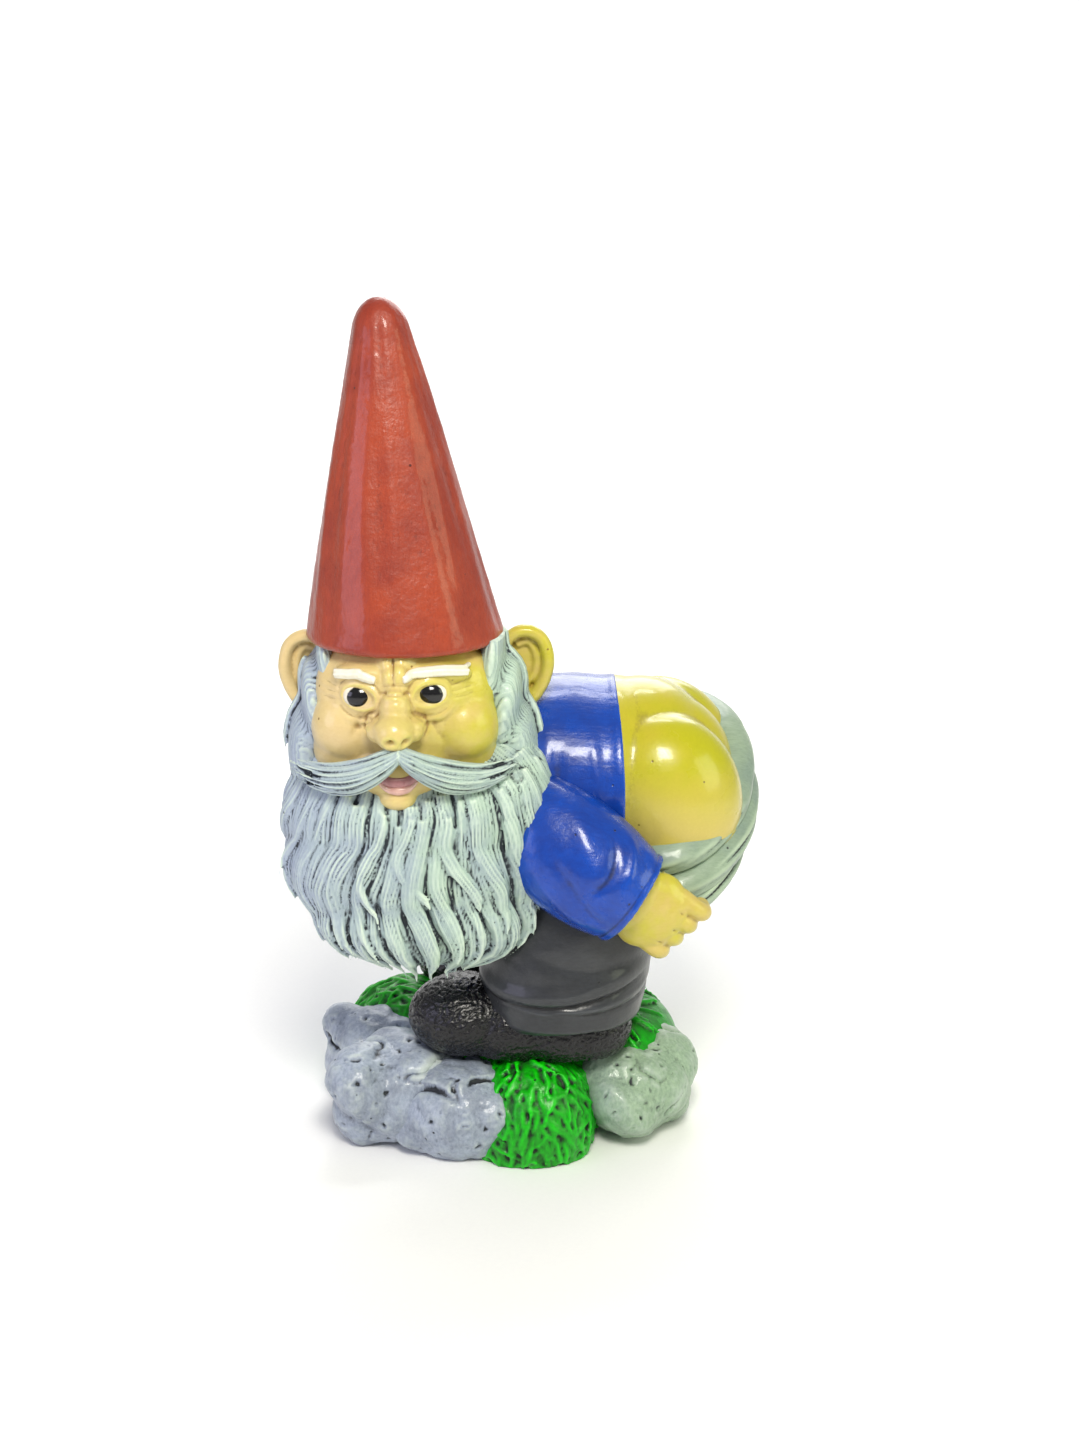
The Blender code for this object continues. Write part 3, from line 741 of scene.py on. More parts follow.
upper = press("upper_teeth", [roll(path, (0, -1, 0), 0.0036, 0.0020, sides=12)], 0.0007, 2)
find_crevices(upper, 0.00015, 0.0006)
stands_for(upper, "tooth_paint", "teeth")

# %% [markdown]
# ## Beard, hair and moustache
#
# The sculptor pressed flattened rolls of clay over a core, side by side and overlapping, each one a
# lock that waves, narrows and curls out at its end, and then combed finer strands into them. The locks
# here are swept rolls laid over a core mass. After the skin goes over them all, every point finds the
# lock it belongs to, and keeps how far across that lock it lies: that is where the strands are combed.


# %% Laying locks over a core
def around(skin, centre, half_x, half_y, turn, z):
    """The surface spot and normal at a height, in the direction that turn gives: 0 is the front."""
    out = Vector((half_x * math.sin(turn), -half_y * math.cos(turn), 0)).normalized()
    start = Vector((centre.x, centre.y, z))
    spot, normal, _, _ = skin.ray_cast(start + out * 0.3, -out)
    if spot is None or (spot - start).dot(out) < 0:
        spot, normal, _, _ = skin.find_nearest(start + out * max(half_x, half_y))
    return np.array(spot), np.array(normal)


def comb(piece, laid, pitch, depth):
    """Finds each point's lock, keeps how far across it lies in millimetres, and combs strands into it."""
    samples, across, facing, width, height, offsets = [], [], [], [], [], []
    for number, (path, normals, w, h) in enumerate(laid):
        path = np.array(path)
        along = unit(np.gradient(path, axis=0))
        side = unit(np.cross(along, normals))
        top = unit(np.cross(side, along))
        swell = fullness(len(path))
        samples.append(path)
        across.append(side)
        facing.append(top)
        width.append(w * swell)
        height.append(h * swell)
        offsets.append(np.full(len(path), (number * 0.618) % 1.0))
    samples, across, facing = np.vstack(samples), np.vstack(across), np.vstack(facing)
    width, height, offsets = np.concatenate(width), np.concatenate(height), np.concatenate(offsets)
    tree = KDTree(len(samples))
    for k, spot in enumerate(samples):
        tree.insert(spot, k)
    tree.balance()
    spots, normals = spots_of(piece), facing_of(piece)
    found = np.array([[hit[1] for hit in tree.find_n(spot, 10)] for spot in spots])
    offset = spots[:, None] - samples[found]
    sideways = (offset * across[found]).sum(2)
    upward = (offset * facing[found]).sum(2)
    outside = (sideways / width[found]) ** 2 + (upward / height[found]) ** 2
    lengthwise = np.linalg.norm(offset, axis=2) ** 2 - sideways**2 - upward**2
    outside += 0.02 * np.maximum(lengthwise, 0) / 1e-6
    best = outside.argmin(1)
    rows = np.arange(len(spots))
    lateral = sideways[rows, best]
    near_width = width[found][rows, best]
    own = offsets[found][rows, best]
    drift = np.array([1.4 * noise.noise(Vector(spot) * 38) for spot in spots])
    phase = lateral / pitch + own + drift
    groove = (0.5 - 0.5 * np.cos(2 * math.pi * phase)) ** 0.6
    patchy = np.array([0.35 + 0.9 * abs(noise.noise(Vector(spot) * 45)) * 2 for spot in spots])
    fade = np.clip(near_width / pitch - 0.3, 0, 1) * np.clip(patchy, 0, 1.2)
    put_spots(piece, spots - normals * (depth * (1 - groove) * fade)[:, None])
    store(piece, "across", lateral * 1000)


print("comb ready")

# %% Beard: core
low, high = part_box("beard")
beard_mid = Vector(((low.x + high.x) / 2 + 0.0010, -0.070, 0.225))
core = [
    lump(beard_mid + Vector((0.001, 0.008, 0.060)), (0.0790, 0.0380, 0.0330)),
    lump(beard_mid + Vector((0.002, 0.002, 0.026)), (0.0870, 0.0450, 0.0580)),
    lump(beard_mid + Vector((0.002, -0.002, -0.006)), (0.0875, 0.0440, 0.0540)),
    lump(beard_mid + Vector((0.007, -0.010, -0.042)), (0.0710, 0.0340, 0.0380)),
    lump(beard_mid + Vector((0.0620, 0.006, 0.030)), (0.0290, 0.0400, 0.0560)),
]
beard_core = press("beard_core", core, 0.0030, 6)
beard_skin = skin_of(beard_core)
print("beard core", len(beard_core.data.polygons))

# %% Beard: locks
chance = random.Random(7)
laid = []
rolls = [beard_core]


def beard_lock(turn, z0, z1, lift, curl, wave, phase):
    """The path and normals of a lock that waves as it falls, with its end turned out sideways."""
    path, normals = [], []
    for k in range(16):
        share = k / 15
        z = z0 + (z1 - z0) * share
        sway = wave * (
            math.sin(2 * math.pi * (0.85 * share + phase)) - math.sin(2 * math.pi * phase)
        ) * share**0.9
        fan = curl * share**2.5
        at = turn + (sway + fan) / 0.085
        spot, normal = around(beard_skin, beard_mid, 0.09, 0.047, at, max(z, low.z + 0.010))
        flick = 0.0040 * share**4 * (1.6 if abs(math.sin(turn)) > 0.7 else 1.0)
        spot = spot + normal * (lift + flick)
        spot[2] = min(spot[2], z) if z < low.z + 0.010 else spot[2]
        path.append(spot)
        normals.append(normal)
    return smooth_path(path, 22), unit(smooth_path(normals, 22))


def top_of_beard(turn):
    """Where the locks start: under the lip in front, higher at the sides."""
    return 0.264 + 0.032 * min(1.0, abs(math.sin(turn)) ** 1.2 + (0.0 if math.cos(turn) > 0 else 0.3))


def end_of_beard(turn):
    """Where they end: lowest in front, higher at the sides."""
    return low.z - 0.006 + 0.064 * (1 - math.cos(min(abs(turn - 0.14), math.pi / 2))) ** 1.7


# How many locks each tier has, how far they stand off the core, how much shorter they are, and their width.
tiers = ((44, 0.0006, 0.00, 0.0066), (36, 0.0030, 0.016, 0.0062), (24, 0.0046, 0.042, 0.0050))
for tier, (count, lift, reach, width) in enumerate(tiers):
    for k in range(count):
        turn = -math.pi + 2 * math.pi * (k + 0.5 * (tier % 2) + 0.2 * chance.random()) / count
        if tier and abs(turn) > 2.0:
            continue
        z1 = end_of_beard(turn) + reach * (0.4 + 1.2 * chance.random()) + 0.007 * chance.random()
        z0 = top_of_beard(turn) - (0.010 * chance.random() if tier else 0) + (0.006 if not tier else 0)
        curl = (
            0.008 + 0.014 * chance.random()
        ) * (1 if turn > -0.20 else -1) * (0.25 + abs(math.sin(turn)))
        phase = 0.30 + 0.30 * turn + 0.05 * chance.random() + 0.06 * tier
        wide = width * (0.65 + 0.75 * chance.random())
        path, normals = beard_lock(turn, z0, z1, lift, curl, 0.0105 + 0.005 * chance.random(), phase)
        laid.append((path, normals, wide, wide * 0.62))
        rolls.append(lock(path, normals, wide, wide * 0.62))
beard = press("beard_locks", rolls, 0.00125, 1)
comb(beard, laid, 0.0029, 0.0008)
find_crevices(beard, 0.00036, 0.0017)
stands_for(beard, "grey_hair_paint", "beard")

# %% Hair: core and locks
low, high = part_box("hair")
hair_mid = Vector(((low.x + high.x) / 2, -0.020, 0.315))
core = [
    lump(hair_mid + Vector((0, 0.000, 0.000)), (0.0730, 0.0560, 0.0600)),
    lump(hair_mid + Vector((0, 0.004, 0.034)), (0.0610, 0.0510, 0.0290)),
    lump(hair_mid + Vector((0, 0.006, -0.030)), (0.0720, 0.0420, 0.0380)),
    lump(hair_mid + Vector((-0.0545, -0.0345, 0.042)), (0.0085, 0.0330, 0.0340), (0, -6, 0)),
    lump(hair_mid + Vector((0.0550, -0.0345, 0.042)), (0.0095, 0.0330, 0.0340), (0, 6, 0)),
    lump(hair_mid + Vector((-0.0625, -0.0335, 0.008)), (0.0110, 0.0340, 0.0370), (0, -10, 0)),
    lump(hair_mid + Vector((0.0635, -0.0335, 0.008)), (0.0120, 0.0340, 0.0370), (0, 10, 0)),
    lump(hair_mid + Vector((-0.0710, -0.0300, -0.022)), (0.0150, 0.0330, 0.0360)),
    lump(hair_mid + Vector((0.0720, -0.0300, -0.022)), (0.0160, 0.0340, 0.0380)),
]
FACE_EDGE = 0.96  # where the hair starts beside the face, in radians round from the front
hair_core = press("hair_core", core, 0.0030, 5)
hair_skin = skin_of(hair_core)
laid = []
rolls = [hair_core]
for tier, (count, lift, width) in enumerate(((56, 0.0004, 0.0056), (44, 0.0020, 0.0048))):
    for k in range(count):
        turn = FACE_EDGE + (2 * math.pi - 2 * FACE_EDGE) * (
            k + 0.5 * tier + 0.3 * chance.random()
        ) / count
        front = min(turn - FACE_EDGE, 2 * math.pi - FACE_EDGE - turn)
        z0 = hat_low.z + 0.006 - (0.030 * chance.random() if tier else 0)
        z1 = low.z + 0.010 + 0.028 * max(0, 1 - front / 0.8) + 0.014 * chance.random()
        back = (1 if turn < math.pi else -1) * (
            0.010 + 0.014 * chance.random()
        ) * max(0.0, 1 - front / 1.4)
        phase = chance.random() * 0.3 + 0.1 * turn
        path, normals = [], []
        for j in range(14):
            share = j / 13
            z = z0 + (z1 - z0) * share
            sway = 0.0045 * math.sin(2 * math.pi * (0.9 * share + phase)) + back * share
            spot, normal = around(hair_skin, hair_mid, 0.083, 0.052, turn + sway / 0.075, z)
            path.append(spot + normal * (lift + 0.0015 * share**3))
            normals.append(normal)
        path, normals = smooth_path(path, 20), unit(smooth_path(normals, 20))
        w = width * (0.85 + 0.35 * chance.random())
        laid.append((path, normals, w, w * 0.55))
        rolls.append(lock(path, normals, w, w * 0.55))
hair = press("head_hair", rolls, 0.0012, 1)
comb(hair, laid, 0.0029, 0.0008)
cut_flat(hair, (0, 0, hat_low.z + 0.004), (0, 0, 1))
find_crevices(hair, 0.00036, 0.0017)
stands_for(hair, "grey_hair_paint", "hair")

# %% Moustache
lip_line = middle("left_moustache").z
for side, sign in (("left", 1), ("right", -1)):
    low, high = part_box(f"{side}_moustache")
    inner, outer = (low.x, high.x) if sign > 0 else (high.x, low.x)
    span = outer - inner
    upper_edge = [
        (0.00, 1.02), (0.15, 0.90), (0.30, 0.76), (0.50, 0.61), (0.69, 0.52), (0.87, 0.52), (1.03, 0.58)
    ]
    lower_edge = [
        (0.01, 0.72),
        (0.12, 0.46),
        (0.25, 0.22),
        (0.41, 0.02),
        (0.61, -0.05),
        (0.80, 0.04),
        (1.00, 0.30),
    ]
    depth = [-0.1330, -0.1310, -0.1265, -0.1200, -0.1115, -0.1030, -0.0950]
    laid, rolls = [], []
    layers = ((5, 0.0005, 0.0032), (9, 0.0034, 0.0021), (6, 0.0050, 0.0017))
    for layer, (rows, plump, w) in enumerate(layers):
        for row in range(rows):
            rise = (row + 0.5) / rows if layer < 2 else 0.15 + 0.7 * (row + chance.random()) / rows
            points = []
            for (ux, uz), (lx, lz), y in zip(upper_edge, lower_edge, depth):
                blend = rise + 0.05 * (chance.random() - 0.5)
                x = inner + span * (ux + (lx - ux) * blend)
                z = low.z + (high.z - low.z) * (uz + (lz - uz) * blend)
                out = plump + 0.0065 * (1 - (2 * blend - 1) ** 2)
                points.append((x, y - out + 0.0075, z))
            start = int(6 * chance.random()) if layer == 2 else 0
            stop = 24 - int((7 if layer else 3) * chance.random())
            path = smooth_path(points, 24)[start:stop]
            if layer:
                bend = np.linspace(0, 1, len(path))[:, None] ** 4
                path = path + bend * np.array([(0.0, -0.0012, chance.uniform(-0.003, 0.002))])
            normals = unit(
                np.array(
                    [(0.35 * sign * s, -1, 0.5 * (0.5 - rise)) for s in np.linspace(0, 1, len(path))]
                )
            )
            wide = w * (0.85 + 0.35 * chance.random())
            laid.append((path, normals, wide, wide * 1.15))
            rolls.append(lock(path, normals, wide, wide * 1.15))
    half_moustache = press(f"{side}_moustache_half", rolls, 0.0008, 1)
    skin = skin_of(half_moustache)
    grooves = []
    for k in range(12):
        blend = (k + chance.uniform(0.2, 0.8)) / 12
        line = []
        for (ux, uz), (lx, lz) in zip(upper_edge, lower_edge):
            line.append(
                (
                    inner + span * (ux + (lx - ux) * blend),
                    low.z + (high.z - low.z) * (uz + (lz - uz) * blend),
                )
            )
        grooves.append((front_path(skin, line[k % 2 : 7 - (k % 3 == 0)], 26), 0.0009, -0.0012, 0.6))
    draw(half_moustache, grooves)
    comb(half_moustache, laid, 0.0019, 0.0004)
    find_crevices(half_moustache, 0.00030, 0.0013)
    stands_for(half_moustache, "grey_hair_paint", f"{side}_moustache")

# %% [markdown]
# ## Ears
#
# Large ears, stuck on and pressed hollow with a thumb: a thick rim that curls round a deep bowl, with a
# second fold inside it.

# %% Ears
for side, sign in (("left", 1), ("right", -1)):
    spot = middle(f"{side}_ear")
    size = half(f"{side}_ear")
    outline = [
        (-0.62, -0.55),
        (-0.70, 0.10),
        (-0.45, 0.72),
        (0.10, 0.90),
        (0.62, 0.66),
        (0.80, 0.12),
        (0.64, -0.40),
        (0.28, -0.80),
        (-0.12, -0.88),
    ]
    inner_fold = [(-0.25, 0.52), (0.18, 0.58), (0.42, 0.22), (0.36, -0.22), (0.06, -0.48)]
    rim = smooth_path(
        [(spot.x + sign * x * size.x, spot.y - 0.003, spot.z + z * size.z) for x, z in outline], 40
    )
    fold = smooth_path(
        [(spot.x + sign * x * size.x, spot.y + 0.001, spot.z + z * size.z) for x, z in inner_fold], 20
    )
    ear_lumps = [
        roll(
            rim, (0, -1, 0),
            np.interp(np.linspace(0, 1, 40), [0, 0.3, 0.8, 1], [0.0028, 0.0046, 0.0046, 0.0060]),
            0.0058, sides=12,
        ),
        roll(fold, (0, -1, 0), 0.0030, 0.0034, sides=10),
        lump(spot + Vector((0, 0.0050, 0)), (size.x * 0.80, 0.0045, size.z * 0.84)),
        lump(
            spot + Vector((-sign * size.x * 0.62, 0.004, -0.002)),
            (size.x * 0.34, 0.0090, size.z * 0.60),
        ),
        lump(
            spot + Vector((-sign * size.x * 0.05, -0.001, -size.z * 0.74)),
            (size.x * 0.36, 0.0055, size.z * 0.22),
        ),
    ]
    ear = press(f"{side}_ear_clay", ear_lumps, 0.0010, 6)
    uneven(ear, 0.010, 0.0005)
    find_crevices(ear, 0.0003, 0.0020)
    stands_for(ear, "flesh_paint", f"{side}_ear")

# %% [markdown]
# ## Shirt and sleeves
#
# The back of the shirt is one full barrel that ends in a thick plain hem. Each sleeve is a fat roll
# from the shoulder back and down to the hip, with a few soft folds pressed into it, and an open cuff
# whose edge stands a little off the wrist.

# %% Shirt
shirt_low, shirt_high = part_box("shirt_body")
span = shirt_high.x - shirt_low.x
chest = [
    (0.00, 0.030, 0.028, -0.008),
    (0.10, 0.054, 0.047, -0.003),
    (0.34, 0.070, 0.062, 0.000),
    (0.66, 0.0755, 0.0670, 0.001),
    (0.86, 0.0768, 0.0678, -0.001),
    (1.00, 0.0775, 0.0682, -0.002),
    (1.06, 0.0760, 0.0670, -0.002),
]
stations = smooth_path([(share, wide, tall) for share, wide, tall, _ in chest], 40)
spine = smooth_path([(drop, 0, 0) for _, _, _, drop in chest], 40)[:, 0]
path = [
    (shirt_low.x + span * s, BODY_Y, middle("shirt_body").z + r) for s, r in zip(stations[:, 0], spine)
]
barrel = roll(path, (0, 0, 1), stations[:, 1], stations[:, 2], sides=72, name="barrel")
shirt = press("shirt_barrel", [barrel], 0.0016, 6)
hem_x = shirt_high.x - 0.0005


def girth(x, y_mid, z_mid, half_y, half_z, start, stop, count=40, lean=0.0):
    """A ring or an arc round a body that lies along X, in degrees from its underside."""
    points = []
    for angle in np.linspace(math.radians(start), math.radians(stop), count):
        points.append(
            (
                x + lean * math.cos(angle),
                y_mid - half_y * math.sin(angle),
                z_mid - half_z * math.cos(angle),
            )
        )
    return points


mid_z = middle("shirt_body").z - 0.001
draw(shirt, [
    (girth(hem_x - 0.0030, BODY_Y, mid_z, 0.077, 0.068, 0, 360, 60), 0.0050, 0.0009, 0),
    (girth(hem_x - 0.020, BODY_Y, mid_z, 0.077, 0.068, 60, 130, 24, 0.006), 0.0045, 0.0010, 0.7),
    (girth(hem_x - 0.046, BODY_Y, mid_z, 0.076, 0.067, 50, 120, 24, 0.010), 0.0050, -0.0014, 0.7),
    (girth(hem_x - 0.060, BODY_Y, mid_z, 0.075, 0.066, 60, 150, 24, -0.008), 0.0060, 0.0012, 0.7),
    (girth(hem_x - 0.040, BODY_Y, mid_z, 0.077, 0.067, 230, 320, 24, 0.010), 0.0050, -0.0014, 0.7),
    (girth(hem_x - 0.060, BODY_Y, mid_z, 0.075, 0.066, 200, 300, 24, -0.006), 0.0060, 0.0012, 0.7),
])
cut_flat(shirt, (hem_x, 0, 0), (1, 0, 0))
spots = spots_of(shirt)
near_hem = np.clip((spots[:, 0] - hem_x + 0.040) / 0.040, 0, 1) ** 2
spots[:, 0] -= near_hem * (0.0028 + 0.0050 * ((spots[:, 2] - mid_z) / 0.068) ** 2)
put_spots(shirt, spots)
uneven(shirt, 0.022, 0.0010)
find_crevices(shirt, 0.00030, 0.0018)
stands_for(shirt, "blue_shirt_paint", "shirt_body")

# %% Sleeves
ARM = Vector((0.80, 0.0, -0.60))  # along the lower arm, towards the hand
ACROSS = Vector((0.60, 0.0, 0.80))  # across it, upwards


def arm_line(route, profile, sign, points, count=16):
    """A soft line over a sleeve through (share along it, degrees round it from its upper edge) points."""
    line = []
    for share, angle, _ in smooth_path([(s, a, 0) for s, a in points], count):
        k = share * (len(route) - 1)
        a = int(min(k, len(route) - 2))
        spot = Vector(route[a] + (route[a + 1] - route[a]) * (k - a))
        turn = math.radians(angle)
        up = Vector(ACROSS) * math.cos(turn) * profile[a, 1]
        out = up + Vector((0, sign, 0)) * math.sin(turn) * profile[a, 0]
        line.append(tuple(spot + out))
    return line


# Folds of a sleeve: points (share along it, degrees round it), width, height and taper.
sleeve_folds = [
    ([(0.60, 20), (0.70, 45), (0.74, 70)], 0.0042, 0.0018, 0.6),
    ([(0.55, 40), (0.62, 70), (0.60, 100)], 0.0036, -0.0018, 0.6),
    ([(0.34, 35), (0.46, 60), (0.60, 85)], 0.0070, 0.0014, 0.6),
    ([(0.30, 80), (0.50, 100), (0.70, 118), (0.88, 120)], 0.0046, -0.0017, 0.6),
    ([(0.34, 105), (0.55, 128), (0.74, 138)], 0.0056, 0.0014, 0.6),
    ([(0.76, 20), (0.84, 50), (0.86, 80)], 0.0040, -0.0010, 0.6),
    ([(0.16, 10), (0.22, 60), (0.26, 110)], 0.0036, -0.0014, 0.5),
]
cuffs = {}
for side, sign in (("left", -1), ("right", 1)):
    cuff = middle(f"{side}_hand") + Vector((-0.0215, sign * 0.001, 0.0115))
    cuffs[side] = cuff
    way = [
        (-0.108, 0.052, 0.052),
        (-0.086, 0.037, 0.049),
        (-0.0536, 0.017, 0.034),
        (-0.0256, 0.005, 0.0165),
        (-0.0086, 0.001, 0.0055),
        (0.0025, 0, -0.0018),
    ]
    sizes = [
        (0.022, 0.026),
        (0.030, 0.037),
        (0.0360, 0.0420),
        (0.0365, 0.0415),
        (0.0345, 0.0375),
        (0.0315, 0.0340),
    ]
    path, thick, wide = [], [], []
    for (x, y, z), (t, w) in zip(way, sizes):
        less = 0.0 if side == "left" else 0.036 * min(1.0, max(0.0, -x) / 0.106)
        path.append((cuff.x + x, cuff.y - sign * y, cuff.z + z - less))
        thick.append(t)
        wide.append(w)
    profile = smooth_path([(t, w, 0) for t, w in zip(thick, wide)], 30)
    route = smooth_path(path, 30)
    arm = roll(route, (0, -1, 0), profile[:, 1], profile[:, 0], sides=48, name="arm")
    sleeve = press(f"{side}_sleeve_cloth", [arm], 0.0015, 5)
    cut_flat(sleeve, tuple(cuff + ARM * 0.001), tuple(ARM))
    strokes = []
    for share, width, height in ((0.955, 0.0032, 0.0012), (0.905, 0.0022, -0.0010)):
        ring = [(share, angle) for angle in range(0, 361, 20)]
        strokes.append((arm_line(route, profile, sign, ring, 60), width, height, 0))
    for points, width, height, taper in sleeve_folds:
        strokes.append((arm_line(route, profile, sign, points), width, height, taper))
    draw(sleeve, strokes)
    uneven(sleeve, 0.020, 0.0010)
    find_crevices(sleeve, 0.00030, 0.0018)
    stands_for(sleeve, "blue_shirt_paint", f"{side}_sleeve")

# %% [markdown]
# ## Hands
#
# Plump hands that hook over the waist: a flat palm, four short fingers that bend inwards at the first
# joint, and a thumb behind them. The gaps between the fingers are drawn in, so that the dark wash and
# its painted shade find them.

# %% Hands
for side, sign in (("left", -1), ("right", 1)):
    cuff = cuffs[side]
    inward = Vector((0, -sign, 0))
    palm = cuff + ARM * 0.016
    pieces = [
        lump(cuff + ARM * -0.004, (0.0240, 0.0205, 0.0275), (0, 37, 0)),
        lump(palm, (0.0230, 0.0150, 0.0290), (0, 37, 0)),
        lump(palm + ARM * 0.008 - inward * 0.003, (0.0170, 0.0110, 0.0250), (0, 37, 0)),
    ]
    gaps = []
    for k in range(4):
        off = 0.0200 - 0.0130 * k
        root = palm + ARM * 0.010 + ACROSS * off
        knuckle = root + ARM * (0.0155 - 0.0020 * k) - inward * 0.0016
        bend = knuckle + ARM * 0.0048 + inward * 0.0040
        tip = bend - ARM * 0.0010 + inward * 0.0085
        path = smooth_path([tuple(root), tuple(knuckle), tuple(bend), tuple(tip)], 12)
        wide, thick = np.linspace(0.0078, 0.0066, 12), np.linspace(0.0071, 0.0064, 12)
        pieces.append(roll(path, tuple(ACROSS), wide, thick, sides=16))
        pieces.append(lump(Vector(path[-1]), (0.0066, 0.0066, 0.0062)))
        if k < 3:
            between = palm + ARM * 0.014 + ACROSS * (off - 0.0065) - inward * 0.010
            out = between + ARM * 0.020
            line = [tuple(between), tuple(out), tuple(out + ARM * 0.005 + inward * 0.008)]
            gaps.append((line, 0.0013, -0.0018, 0.3))
    thumb = palm + ACROSS * 0.016 + inward * 0.012
    path = [tuple(thumb + ARM * along) for along in (-0.006, 0.010, 0.020)]
    pieces.append(roll(path, tuple(inward), [0.009, 0.008, 0.006], [0.008, 0.0075, 0.006], sides=16))
    hand = press(f"{side}_hand_clay", pieces, 0.0011, 5)
    draw(hand, gaps)
    uneven(hand, 0.012, 0.0006)
    find_crevices(hand, 0.00025, 0.0015)
    stands_for(hand, "flesh_paint", f"{side}_hand")

# %% [markdown]
# ## Seat and trousers
#
# Two smooth cheeks with a soft cleft, the roundest and shiniest forms of the figure. Below them the
# trousers are pushed down into three thick rolls that run higher round the far side, and the two short
# legs bulge over the boots, each with a fold pressed round it.

# %% Seat
seat_lumps = [lump(HIPS + Vector((-0.034, 0, 0.0)), (0.044, 0.0725, 0.0660))]
for side in (-1, 1):
    cheek = HIPS + Vector((0.003, side * 0.0370, -0.006 + side * 0.004))
    seat_lumps.append(lump(cheek, (0.0535, 0.0405, 0.0600), (0, -18, 0)))
seat_lumps.append(lump(HIPS + Vector((-0.014, 0.003, 0.018)), (0.0500, 0.0560, 0.0470)))
seat_lumps.append(lump(HIPS + Vector((0.003, 0, -0.003)), (0.0500, 0.0455, 0.0575)))
seat = press("seat_cheeks", seat_lumps, 0.0017, 28)
cut_flat(seat, (hem_x - 0.013, 0, 0), (-1, 0, 0))
uneven(seat, 0.040, 0.0010)
find_crevices(seat, 0.00030, 0.0022)
stands_for(seat, "flesh_paint", "bare_seat")

# %% Trouser rolls
TILT = 27  # degrees that the rolls rise by towards the far side
tilt = math.radians(TILT)
climb = 0.24  # how much they rise for each metre towards the back
tube = 0.0165  # from a roll's outer edge to the middle of its tube


def round_waist(mid, half_x, half_y, angle, z=0.0):
    """A spot on a roll's ring, which rises towards the far side and towards the back."""
    x, y = half_x * math.cos(angle), half_y * math.sin(angle)
    return (
        mid[0] + x, mid[1] + y * math.cos(tilt) - z * math.sin(tilt),
        mid[2] + y * math.sin(tilt) + z * math.cos(tilt) + climb * x,
    )


chance = random.Random(21)
waist = {
    "upper": (Vector((HIPS.x - 0.001, BODY_Y + 0.004, 0.252)), 0.0705, 0.0940),
    "middle": (Vector((HIPS.x + 0.003, BODY_Y + 0.001, 0.232)), 0.0700, 0.0930),
    "lower": (Vector((HIPS.x - 0.001, BODY_Y - 0.001, 0.212)), 0.0660, 0.0900),
}
for name, (mid, half_x, half_y) in waist.items():
    angles = np.linspace(0, 2 * math.pi * 1.02, 92)
    swell = [
        0.0116 + 0.0016 * noise.noise((math.cos(a) * 1.4, math.sin(a) * 1.4, mid.z * 90))
        for a in angles
    ]
    waves = [0.0018 * math.sin(3 * a + mid.z * 200) for a in angles]
    ring = [round_waist(mid, half_x - tube, half_y - tube, a, wave) for a, wave in zip(angles, waves)]
    cloth = [
        roll(
            ring, (0, -math.sin(tilt), math.cos(tilt)), np.array(swell) + 0.0045, swell, sides=24,
            name="ring",
        ),
        lump(mid, (half_x - 0.012, half_y - 0.012, 0.0110), (TILT, -13, 0)),
    ]
    piece = press(f"{name}_roll_cloth", cloth, 0.0016, 5)
    strokes = []
    for k in range(11):
        start = 2 * math.pi * (k + 0.6 * chance.random()) / 11
        reach = 0.55 + 0.5 * chance.random()
        z0, z1 = 0.010 * (chance.random() - 0.3), 0.010 * (chance.random() - 0.5)
        fold = []
        for t in np.linspace(0, 1, 12):
            fold.append(
                round_waist(
                    mid, half_x - 0.0008, half_y - 0.0008, start + reach * t, z0 + (z1 - z0) * t
                )
            )
        strokes.append((fold, 0.0016, -0.0018, 0.8))
        ridge = [(x, y, z + 0.0034) for x, y, z in fold]
        strokes.append((ridge, 0.0022, 0.0011, 0.8))
    draw(piece, strokes)
    uneven(piece, 0.018, 0.0010)
    find_crevices(piece, 0.00030, 0.0016)
    stands_for(piece, "grey_trouser_paint", f"{name}_waist_roll")

# %% Trouser legs
def round_leg(y, sign, z, start, stop, droop):
    """An arc round a leg, in degrees from its front through its outer side, that hangs in the middle."""
    points = []
    for t in np.linspace(0, 1, 24):
        angle = math.radians(start + (stop - start) * t)
        x = 0.0310 - 0.0590 * math.cos(angle)
        points.append((x, y + sign * 0.0515 * math.sin(angle), z - droop * math.sin(math.pi * t)))
    return points


